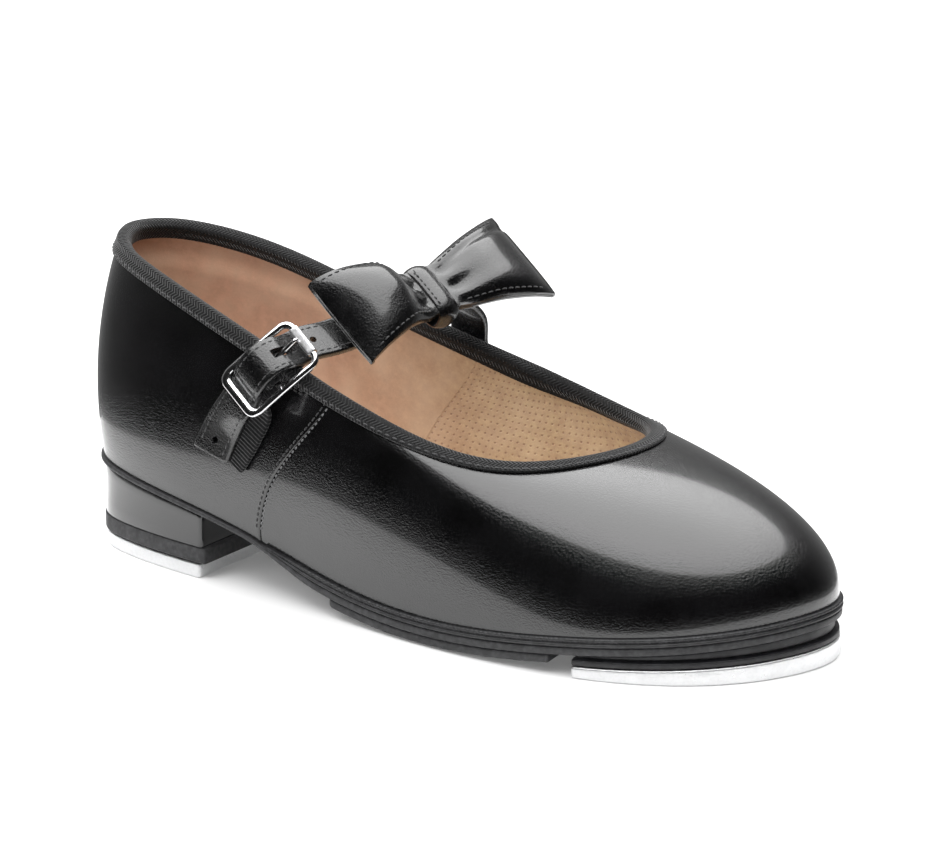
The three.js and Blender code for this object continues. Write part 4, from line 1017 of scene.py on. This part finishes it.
def screws(plate, node, places, tip):
    """Countersunk screws in a tap, with cut recesses, standing for the node's numbered screws."""
    holes = []
    for x, y in places:
        head = SCREW_HEAD + 0.22
        core = SCREW_CORE + 0.22
        holes.append(lathe("hole", x, y, [[-1, head + 0.5], [0, head + 0.2], [SCREW_FACE, head],
                                          [SCREW_FACE + 1.2, core], [tip, core]], STEEL))
    carve(plate, holes)
    for k, (x, y) in enumerate(places):
        body = lathe(f"{node}_turned_{k + 1}", x, y,
                     [[SCREW_FACE + 0.12, 0.6], [SCREW_FACE, 1.6], [SCREW_FACE + 0.03, 2.3],
                      [SCREW_FACE + 0.18, SCREW_HEAD], [SCREW_FACE + 0.4, SCREW_HEAD - 0.1],
                      [SCREW_FACE + 1.3, SCREW_CORE], [tip + 2, SCREW_CORE],
                      [tip + 3, SCREW_CORE / 2]], STEEL)
        carve(body, [cross_tool(x, y, SCREW_FACE, 1.5, 0.32)])
        dress(body, "shoe", "spring_steel", f"{node}_{k + 1}")


screws(toe_plate, "toe_tap_screw", TAP_SCREWS, 5)
screws(heel_plate, "heel_tap_screw", HEEL_TAP_SCREWS, 6)
dress(toe_plate, "shoe", "tap_aluminium", "toe_tap")
dress(heel_plate, "shoe", "tap_aluminium", "heel_tap")

# ---------------------------------------------------------------- strap, elastic and buckle
BUCKLE_CENTRE = np.array([63.11, -30.95, 51.73])
BUCKLE_ALONG = unit([0.555, 0.529, 0.643])
BUCKLE_SIDE = np.array([0.8, -0.15, -0.57])
BUCKLE_SIDE = unit(BUCKLE_SIDE - BUCKLE_ALONG * (BUCKLE_SIDE @ BUCKLE_ALONG))
BUCKLE_OUT = np.cross(BUCKLE_SIDE, BUCKLE_ALONG)
BUCKLE_AXES = BUCKLE_ALONG, BUCKLE_SIDE, BUCKLE_OUT


def in_buckle(run, side, out):
    """Point in the buckle's own directions: along the strap, sideways, out from the foot."""
    run, side, out = (np.asarray(k, float)[..., None] for k in (run, side, out))
    return BUCKLE_CENTRE + BUCKLE_ALONG * run + BUCKLE_SIDE * side + BUCKLE_OUT * out


def buckle_bow(run):
    """The frame's ends bend in towards the foot."""
    return -0.5 * (np.asarray(run, float) / BUCKLE_FRONT) ** 2


TAIL_SIDE = [0.93, -0.05, -0.37]
CROWN_SIDE = [0.8, -0.15, -0.57]
MEDIAL_SIDE = [0.94, 0.12, -0.3]
QUARTER_SIDE = [0.97, -0.05, -0.22]
STRAP_STOPS = [
    [off_face(0.3, 0.37, 3.3), TAIL_SIDE],
    [off_face(0.317, 0.54, 3.4), TAIL_SIDE],
    [in_buckle(-9.6, 0, -3.4), CROWN_SIDE],
    [in_buckle(-6.5, 0, -1.6), CROWN_SIDE],
    [in_buckle(-3.2, 0, 2.1), CROWN_SIDE],
    [in_buckle(0, 0, 3.5), CROWN_SIDE],
    [in_buckle(3.2, 0, 2.6), CROWN_SIDE],
    [in_buckle(6, 0, -1), CROWN_SIDE],
    [in_buckle(BUCKLE_FRONT, 0, -3.6), CROWN_SIDE],
    [[69.8, -17.6, 56.4], CROWN_SIDE],
    [[71.8, -9, 57.1], CROWN_SIDE],
    [[73.8, 1, 58.1], CROWN_SIDE],
    [[75.8, 11, 59.35], CROWN_SIDE],
    [[76.2, 17, 58.9], CROWN_SIDE],
    [[76.3, 20.8, 56.4], MEDIAL_SIDE],
    [[76.4, 23.8, 52.8], MEDIAL_SIDE],
    [off_face(1.563, 0.9, 2.9), MEDIAL_SIDE],
    [off_face(1.566, 0.78, 2), MEDIAL_SIDE],
    [off_face(1.572, 0.62, 1.7), MEDIAL_SIDE],
]
ELASTIC_STOPS = [
    [off_face(0.315, 0.38, 1.15), QUARTER_SIDE],
    [off_face(0.336, 0.55, 1.15), QUARTER_SIDE],
    [off_face(0.353, 0.72, 1.3), CROWN_SIDE],
    [in_buckle(-4.6, 0, -2.7), CROWN_SIDE],
    [in_buckle(-1.2, 0, -1.75), CROWN_SIDE],
    [in_buckle(1.05, 0, -1.35), CROWN_SIDE],
    [in_buckle(1.75, 0, 0), CROWN_SIDE],
    [in_buckle(1.05, 0, 1.35), CROWN_SIDE],
    [in_buckle(-0.6, 0, 1.65), CROWN_SIDE],
    [in_buckle(-2.1, 0, 0.5), CROWN_SIDE],
]


class Band:
    """A flat band along stops, giving points by length, sideways and outward place."""

    def __init__(self, stops, spacing):
        points, share, self.length = even_curve([s[0] for s in stops], spacing)
        self.path = points
        self.tangent = unit(np.gradient(points, axis=0))
        side = smooth_curve([s[1] for s in stops], share)
        side = side - self.tangent * (side * self.tangent).sum(1, keepdims=True)
        self.side = unit(side)
        self.out = np.cross(self.side, self.tangent)

    def sections(self, profile):
        a, b = np.asarray(profile, float).T
        return (self.path[:, None] + self.side[:, None] * a[None, :, None]
                + self.out[:, None] * b[None, :, None])

    def row(self, a, b, first):
        """Line on the band from a length onwards, at a place sideways and outwards."""
        keep = self.length >= first
        return self.path[keep] + self.side[keep] * a + self.out[keep] * b, self.out[keep]


def band_profile(width, thickness, corner, crown=0.0):
    """Loop of a band's section: crowned outer face, rounded corners, plain inner face."""
    half, deep = width / 2, thickness / 2
    side, top, bottom = half - corner, deep - crown - corner, -deep + corner

    def quarter(a, b, start):
        turn = np.linspace(start, start + math.pi / 2, 5)[1:]
        return [[a + corner * math.sin(t), b + corner * math.cos(t)] for t in turn]

    loop = [[a, deep + crown * (1 - (a / half) ** 2) - crown] for a in np.linspace(-side, side, 9)]
    loop += quarter(side, top, 0) + quarter(side, bottom, math.pi / 2)
    loop += [[a, -deep] for a in np.linspace(side, -side, 5)[1:]]
    loop += quarter(-side, bottom, math.pi) + quarter(-side, top, 1.5 * math.pi)[:-1]
    return np.array(loop)


def band_piece(name, band, profile, material, widen=0.0, slant=0.0):
    """Solid band; widen and slant shape its first end, a share of its width and a cut's slope."""
    sections = band.sections(profile)
    start = 1 - smooth(0, 16, band.length)[:, None]
    middle = band.path[:, None]
    aside = ((sections - middle) * band.side[:, None]).sum(2)
    sections += band.side[:, None] * (aside * widen * start)[..., None]
    near_end = np.clip(1 - band.length / 6, 0, 1)[:, None]
    sections += band.tangent[:, None] * (aside * slant * near_end + abs(slant) * 4 * near_end)[..., None]
    for end, shrink in ((0, 0.93), (1, 0.985), (-1, 0.93), (-2, 0.985)):
        centre = sections[end].mean(0)
        sections[end] = centre + (sections[end] - centre) * shrink
    flat = np.zeros(sections.shape)
    flat[..., 0] = band.length[:, None]
    flat[..., 1] = profile[None, :, 0]
    return tube(name, sections, material, False, flat, 50)


def rounded_square(half_a, half_b, count, power):
    """Points round a squared circle; power 1 is an ellipse and smaller powers are squarer."""
    turn = np.linspace(0, 2 * math.pi, count, endpoint=False)
    a, b = np.cos(turn), np.sin(turn)
    return np.column_stack([np.sign(a) * np.abs(a) ** power * half_a,
                            np.sign(b) * np.abs(b) ** power * half_b])


def punch(place, run, side, out, half_run, half_side, depth, corners=16, square=2.0):
    """Rounded prism through a band at a place, with the band's directions."""
    hole = rounded_square(half_run, half_side, corners, 2 / square)
    flat = place + run * hole[:, :1] + side * hole[:, 1:]
    return tube("punch", np.stack([flat - out * depth, flat + out * depth]), STEEL)


strap_band = Band(STRAP_STOPS, 0.35)
strap = band_piece("instep_strap", strap_band,
                   band_profile(STRAP_WIDTH, STRAP, STRAP_CORNER, STRAP_CROWN), STRAP_SKIN, 0.08, 0.24)
strap_tools = [punch(in_buckle(5, 0, 1.1), *BUCKLE_AXES, 2.8, 1.1, 2.5, 20, 4)]
HOLE_PLACES = (4.6, 34.5, 42.0)
for place in HOLE_PLACES:
    k = int(np.searchsorted(strap_band.length, place))
    strap_tools.append(punch(strap_band.path[k], strap_band.tangent[k], strap_band.side[k],
                             strap_band.out[k], 0.75, 0.75, 2.0))
carve(strap, strap_tools)
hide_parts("strap")
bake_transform(strap)
strap_rows = [strap_band.row(a, STRAP / 2 - 0.12, 2.5) for a in (-3.1, 3.1)]
strap_thread = stitches("strap_stitches", strap_rows, THREAD, *STRAP_THREAD, body=None)
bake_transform(strap_thread)

elastic_band = Band(ELASTIC_STOPS, 0.3)
elastic = band_piece("elastic_band", elastic_band,
                     band_profile(ELASTIC_WIDTH, ELASTIC, ELASTIC_CORNER), ELASTIC_WEAVE)
carve(elastic, [punch(in_buckle(1.2, 0, 0.2), *BUCKLE_AXES, 3.5, 1.2, 2.3, 20, 4)])
dress(elastic, "shoe", "ribbed_elastic", "elastic_loop")


def buckle_ring():
    """Sections round the frame's wire, broader and flatter at its rear end."""
    corner = 2.0
    places = []
    x, y = BUCKLE_HALF_LENGTH - corner, BUCKLE_HALF_WIDTH - corner
    for centre_x, centre_y, start in ((x, y, 0), (-x, y, 90), (-x, -y, 180), (x, -y, 270)):
        for angle in np.radians(np.linspace(start, start + 90, 10)):
            places.append([centre_x + corner * math.cos(angle), centre_y + corner * math.sin(angle)])
    places = np.array(places + places[:1])
    length = running_length(places)
    places = along(places, length, np.arange(150) / 150 * length[-1])
    rear = smooth(-7.7, -8.6, places[:, 0])
    places = places + (BUCKLE_FRONT - BUCKLE_HALF_LENGTH, BUCKLE_ASIDE)
    path = in_buckle(places[:, 0], places[:, 1], buckle_bow(places[:, 0]))
    side, out = frames_along(path, BUCKLE_OUT, True)
    wide, deep = WIRE + 0.08 + 0.3 * rear, WIRE - 0.1 * rear
    turn = np.linspace(0, 2 * math.pi, 20, endpoint=False)
    return (path[:, None] + side[:, None] * (np.cos(turn)[None] * wide[:, None])[..., None]
            + out[:, None] * (np.sin(turn)[None] * deep[:, None])[..., None])


def rod(points, radii):
    points = np.asarray(points, float)
    side, out = frames_along(points, BUCKLE_OUT)
    turn = np.linspace(0, 2 * math.pi, 16, endpoint=False)
    radii = np.asarray(radii, float)[:, None, None]
    return points[:, None] + radii * (np.cos(turn)[None, :, None] * side[:, None]
                                      + np.sin(turn)[None, :, None] * out[:, None])


bar_places = np.linspace(-BUCKLE_HALF_WIDTH, BUCKLE_HALF_WIDTH, 9) + BUCKLE_ASIDE
buckle_parts = [tube_part(buckle_ring(), True),
                tube_part(rod(in_buckle(0 * bar_places, bar_places, 0 * bar_places), [WIRE] * 9))]
buckle = unite_parts("buckle_wire", buckle_parts, CHROME)
dress(buckle, "buckle", "buckle_chrome", "buckle_frame")


ROLLER_LENGTH = 7.2
ROLLER_HALF_RUN, ROLLER_HALF_OUT = 1.05, 0.88


def roller_sleeve():
    """Squared sleeve round the front wire, its ends turned in to the bore."""
    half = ROLLER_LENGTH / 2
    square = rounded_square(ROLLER_HALF_RUN, ROLLER_HALF_OUT, 48, 0.36)
    bore = rounded_square(WIRE + 0.1, WIRE + 0.1, 48, 1)
    end = [(half, bore), (half, square * 0.82), (half - 0.1, square * 0.95), (half - 0.3, square)]
    rings = [(-place, ring) for place, ring in end]
    rings += [(place, square) for place in np.linspace(-half + 0.9, half - 0.9, 5)]
    rings += end[::-1]
    low = buckle_bow(BUCKLE_FRONT)
    sections = []
    for place, ring in rings:
        aside = BUCKLE_ASIDE + place + 0 * ring[:, 0]
        sections.append(in_buckle(BUCKLE_FRONT + ring[:, 0], aside, low + ring[:, 1]))
    return np.stack(sections)


roller = tube("roller_sleeve", roller_sleeve(), SLEEVE_CHROME, True, sharp=50)
dress(roller, "roller", "buckle_chrome", "buckle_roller")


def prong_parts():
    """Rolled eye round the centre bar and a finger that lies on the roller."""
    turn = np.linspace(0, 2 * math.pi, 40, endpoint=False)
    loop = [(-0.75, 0.9), (-0.75, 1.35), (-0.6, 1.5), (0, 1.5), (0.6, 1.5), (0.75, 1.35), (0.75, 0.9)]
    eye = np.stack([in_buckle(radius * np.cos(turn), side + 0 * turn, radius * np.sin(turn))
                    for side, radius in loop])
    stops = [in_buckle(a, 0, o) for a, o in ((1.1, 0.45), (3, 0.75), (5.6, 1), (7.8, 1.3),
                                             (BUCKLE_FRONT - 0.4, 1.35))]
    points, _, length = even_curve(stops, 0.3)
    radii = mix(0.62, 0.46, length / length[-1])
    radii[-1], radii[-2] = 0.15, 0.36
    return [tube_part(eye, True), tube_part(rod(points, radii))]


prong = unite_parts("prong_pin", prong_parts(), CHROME)
dress(prong, "prong", "buckle_chrome", "buckle_prong")

# ---------------------------------------------------------------- bow
BOW_HALF_LENGTH = 25.5
BOW_HALF_WIDTH = 11.5
BOW_WAIST = 6.0
BOW_SHEET = 0.62
BOW_STEPS, BOW_FOLD_STEPS = 90, 9
BOW_KNOT_SHARE = 0.14       # of the bow's half length, lying under the knot
BOW_ARCH = 3.2
BOW_EDGE_MARGIN = 1.1       # from the row of stitches to the edge
BOW_CENTRE = np.array([75.7, 9.3, 59.2])
BOW_ALONG = unit([0.236, 0.967, 0.097])
BOW_SIDE = unit(np.array(CROWN_SIDE) - BOW_ALONG * (np.array(CROWN_SIDE) @ BOW_ALONG))
BOW_OUT = np.cross(BOW_SIDE, BOW_ALONG)


def in_bow(run, side, out):
    run, side, out = np.broadcast_arrays(*(np.asarray(k, float) for k in (run, side, out)))
    return BOW_CENTRE + BOW_ALONG * run[..., None] + BOW_SIDE * side[..., None] + BOW_OUT * out[..., None]


def bow_reach(t):
    """0 at the knot to 1 at a wing's end."""
    return np.clip((np.abs(t) - BOW_KNOT_SHARE) / (1 - BOW_KNOT_SHARE), 0, 1)


def bow_width(t):
    return mix(BOW_WAIST, BOW_HALF_WIDTH, bow_reach(t) ** 0.9)


def bow_full(t):
    """Stuffing: rises from the knot, stays full, then falls steeply to the end fold."""
    return smooth(-0.1, 0.5, bow_reach(t)) * (1 - bow_reach(t) ** 5)


def bow_rise(t):
    """Height of the fold's middle over the strap."""
    return 2.7 + 1.8 * bow_full(t) + 0.6 * np.asarray(t) ** 2


def bow_half(t, s):
    """Half thickness: fullest along the middle, falling to the sewn edges and the end folds."""
    return 0.7 + (1 - np.abs(s) ** 3.6) * (0.3 + 2.7 * bow_full(t))


def bow_relief(t, s):
    """Gathers at the knot, one long crease on the inner wing and a pillow on the outer one."""
    near = np.exp(-bow_reach(t) / 0.2) * (1 - np.exp(-bow_reach(t) / 0.03))
    gathers = 0.75 * near * np.cos(math.pi * (2.6 * s + 0.35 * np.sign(t)))
    crease = -0.8 * np.exp(-((s + 0.62 + 0.1 * t) / 0.09) ** 2) * smooth(0.2, 0.45, t)
    pillow = 1.1 * np.exp(-((t + 0.6) / 0.24) ** 2 - ((s + 0.1) / 0.5) ** 2)
    return (gathers + crease + pillow) * (1 - np.abs(s) ** 6)


def bow_lift(t, s):
    """Extra rise of the whole fold: the outer wing's upper edge arches well up."""
    arch = smooth(0, 0.45, bow_reach(t)) * (1 - bow_reach(t) ** 5) * smooth(0.1, -0.3, t)
    return BOW_ARCH * arch * mix(0.85, 1.0, (1 - np.asarray(s)) / 2)


def bow_grid(shrink):
    """The folded band's outer or, with shrink, inner face: round the fold, then across."""
    flat = np.linspace(-1, 1, BOW_STEPS)
    t_top = (np.sin(flat * math.pi / 2) + flat) / 2
    t = np.concatenate([t_top, np.ones(BOW_FOLD_STEPS), t_top[::-1], -np.ones(BOW_FOLD_STEPS)])
    far_fold = np.linspace(90, -90, BOW_FOLD_STEPS + 2)[1:-1]
    near_fold = np.linspace(270, 90, BOW_FOLD_STEPS + 2)[1:-1]
    angle = np.radians(np.concatenate([np.full(BOW_STEPS, 90), far_fold, np.full(BOW_STEPS, -90),
                                       near_fold]))
    s = np.linspace(-1, 1, 33)[None, :]
    t, angle = t[:, None], angle[:, None]
    thick = bow_half(t, s) + 0.5 * np.maximum(np.sin(angle), 0) * bow_relief(t, s)
    thick = np.maximum(thick - shrink, 0.08)
    lift = 0.5 * bow_relief(t, s) + bow_lift(t, s)
    run = t * BOW_HALF_LENGTH + thick * np.cos(angle) * np.sign(t) * np.sign(np.cos(angle) * t + 1e-9)
    return in_bow(run, s * bow_width(t), bow_rise(t) + lift + thick * np.sin(angle))


bow = shell("bow_band", bow_grid(0.0), bow_grid(BOW_SHEET), BOW_SKIN, True, sharp=55)
dress(bow, "bow", "black_upper", "bow_loop")

bow_rows = []
for wing in BOTH_SIDES:
    t = wing * np.linspace(0.2, 0.965, 80)
    for edge in BOTH_SIDES:
        s = edge * (1 - BOW_EDGE_MARGIN / bow_width(t))
        top = bow_rise(t) + bow_half(t, s) + bow_relief(t, s) + bow_lift(t, s)
        bow_rows.append((in_bow(t * BOW_HALF_LENGTH, s * bow_width(t), top), 0 * t[:, None] + BOW_OUT))
stitches("bow_stitches", bow_rows, THREAD, *BOW_THREAD, body="bow")


KNOT_LOW, KNOT_HIGH = -2.1, 4.4     # the wrap's middle line under and over the bow
KNOT_HALF_SIDE = 6.8


def knot_sections():
    """Wrap round the waist: rounded square path, its own section padded and creased."""
    middle, half_out = (KNOT_LOW + KNOT_HIGH) / 2, (KNOT_HIGH - KNOT_LOW) / 2
    turn = np.linspace(0, 2 * math.pi, 120, endpoint=False)
    path = rounded_square(KNOT_HALF_SIDE, half_out, 120, 0.62) + (0, middle)
    ahead = unit(np.roll(path, -1, 0) - np.roll(path, 1, 0))
    normal = np.column_stack([ahead[:, 1], -ahead[:, 0]])
    normal *= np.sign((normal * (path - (0, middle))).sum(1))[:, None]
    across_run = np.linspace(-2.5, 2.5, 15)
    top = 0.1 + 0.6 * (1 - (across_run / 2.5) ** 2)
    edge = [[2.66, -0.02], [2.7, -0.2], [2.65, -0.4], [2.4, -0.5]]
    loop = [[a, b] for a, b in zip(across_run, top)]
    loop += edge + [[0, -0.5]] + [[-a, b] for a, b in edge[::-1]]
    loop = np.array(loop)
    pinch = 1 - 0.06 * np.abs(np.sin(turn)) ** 3
    side = path[:, None, 0] + normal[:, None, 0] * loop[None, :, 1]
    out = path[:, None, 1] + normal[:, None, 1] * loop[None, :, 1]
    return in_bow(loop[None, :, 0] * pinch[:, None], side, out)


knot = tube("bow_wrap", knot_sections(), BOW_SKIN, True, sharp=60)
dress(knot, "bow", "black_upper", "bow_knot")
knot_s = np.linspace(-5.6, 5.6, 60)    # along the wrap's outer edge
knot_rows = [(in_bow(-1.8 + 0 * knot_s, knot_s, 4.75 + 0 * knot_s), 0 * knot_s[:, None] + BOW_OUT)]
stitches("knot_stitches", knot_rows, THREAD, *KNOT_THREAD, body="bow")

# ---------------------------------------------------------------- inner pieces kept from the frame
INNER = {"heel_counter": "stiffener", "toe_puff": "stiffener", "insole_board": "fibre_board",
         "bottom_filler": "cork", "shank": "spring_steel", "heel_screw": "spring_steel"}
INNER.update({f"heel_nail_{k}": "spring_steel" for k in range(1, 5)})
for node, kind in INNER.items():
    kept = bpy.data.objects[node]
    kept.data.materials.clear()
    kept.data.materials.append(HIDDEN[kind])

# ---------------------------------------------------------------- floor, light and camera
TARGET = Vector((0.072, 0, 0.035))
AZIMUTH, ELEVATION, ROLL = math.radians(34.9), math.radians(17.1), math.radians(-0.15)


SHOE_MIDDLE = 92
FLOOR_DROP = 0.05           # the floor lies just under the taps, so that their faces don't share a plane
RING_SIDES = 96


def floor_ring(half_long, half_wide):
    """Ring of plan points round the shoe."""
    turn = np.linspace(0, 2 * math.pi, RING_SIDES, endpoint=False)
    return np.column_stack([SHOE_MIDDLE + half_long * np.cos(turn), half_wide * np.sin(turn),
                            0 * turn - FLOOR_DROP])


# The gloss sees only the near floor, so the leather's sides turn dark above a low pale band.
PAPER = Finish("backdrop_paper", (0.78, 0.78, 0.78), 0.9, Specular_IOR_Level=0.0).material
near_ring = floor_ring(165, 100)
near_floor = make_piece("floor_near", near_ring, [list(range(RING_SIDES))], PAPER)
far_grid = np.stack([near_ring, floor_ring(4000, 4000)])
far_floor = make_piece("floor_far", far_grid, quads(2, RING_SIDES, 0, False, True), PAPER)
far_floor.visible_glossy = False


def add_light(name, kind, energy):
    made = bpy.data.objects.new(name, bpy.data.lights.new(name, kind))
    bpy.context.scene.collection.objects.link(made)
    made.data.energy = energy
    return made


# One oval softbox straight overhead makes every reflection. A wide sun that casts no shadow and
# can't be seen in the gloss lifts the space under the arch and inside the shoe.
softbox = add_light("overhead_box", "AREA", 36)
softbox.data.shape = "ELLIPSE"
softbox.data.size, softbox.data.size_y = 1.86, 2.04
softbox.location = (-0.129, 0.15, 1.04)
softbox.rotation_euler = (0, 0, AZIMUTH)
front_fill = add_light("front_fill", "SUN", 2.4)
front_fill.data.use_shadow = False
front_fill.data.angle = math.radians(50)
front_fill.rotation_euler = (math.radians(48), 0, math.radians(-12))
front_fill.visible_glossy = False

# The surroundings are almost black, and a little lighter behind the shoe.
world = bpy.data.worlds.new("studio")
world.use_nodes = True
bpy.context.scene.world = world
tree = world.node_tree
sky = tree.nodes["Background"]
direction = tree.nodes.new("ShaderNodeTexCoord").outputs["Generated"]
back_share = tree.nodes.new("ShaderNodeVectorMath")
back_share.operation = "DOT_PRODUCT"
back_share.inputs[1].default_value = (-0.572, 0.82, 0.0)
tree.links.new(direction, back_share.inputs[0])
ramp = tree.nodes.new("ShaderNodeMapRange")
ramp.interpolation_type = "SMOOTHSTEP"
for socket, value in (("From Min", -0.2), ("From Max", 0.9), ("To Min", 0.01), ("To Max", 0.25)):
    ramp.inputs[socket].default_value = value
tree.links.new(back_share.outputs["Value"], ramp.inputs["Value"])
tree.links.new(ramp.outputs["Result"], sky.inputs["Strength"])
sky.inputs["Color"].default_value = (1, 1, 1, 1)

camera = bpy.data.objects.new("camera", bpy.data.cameras.new("camera"))
bpy.context.scene.collection.objects.link(camera)
right = Vector((math.cos(AZIMUTH), math.sin(AZIMUTH), 0))
back = Vector((math.sin(AZIMUTH) * math.cos(ELEVATION), -math.cos(AZIMUTH) * math.cos(ELEVATION),
               math.sin(ELEVATION)))
up = back.cross(right)
turned = Matrix.Rotation(ROLL, 3, back)
axes = Matrix((turned @ right, turned @ up, turned @ back)).transposed()
camera.matrix_world = Matrix.Translation(TARGET + back * 1.2) @ axes.to_4x4()
camera.data.lens = 218.7
camera.data.sensor_width = 36
camera.data.shift_x = 0.0048
camera.data.shift_y = 0.0033
camera.data.clip_end = 50
bpy.context.scene.camera = camera
bpy.context.scene.view_settings.view_transform = "Standard"
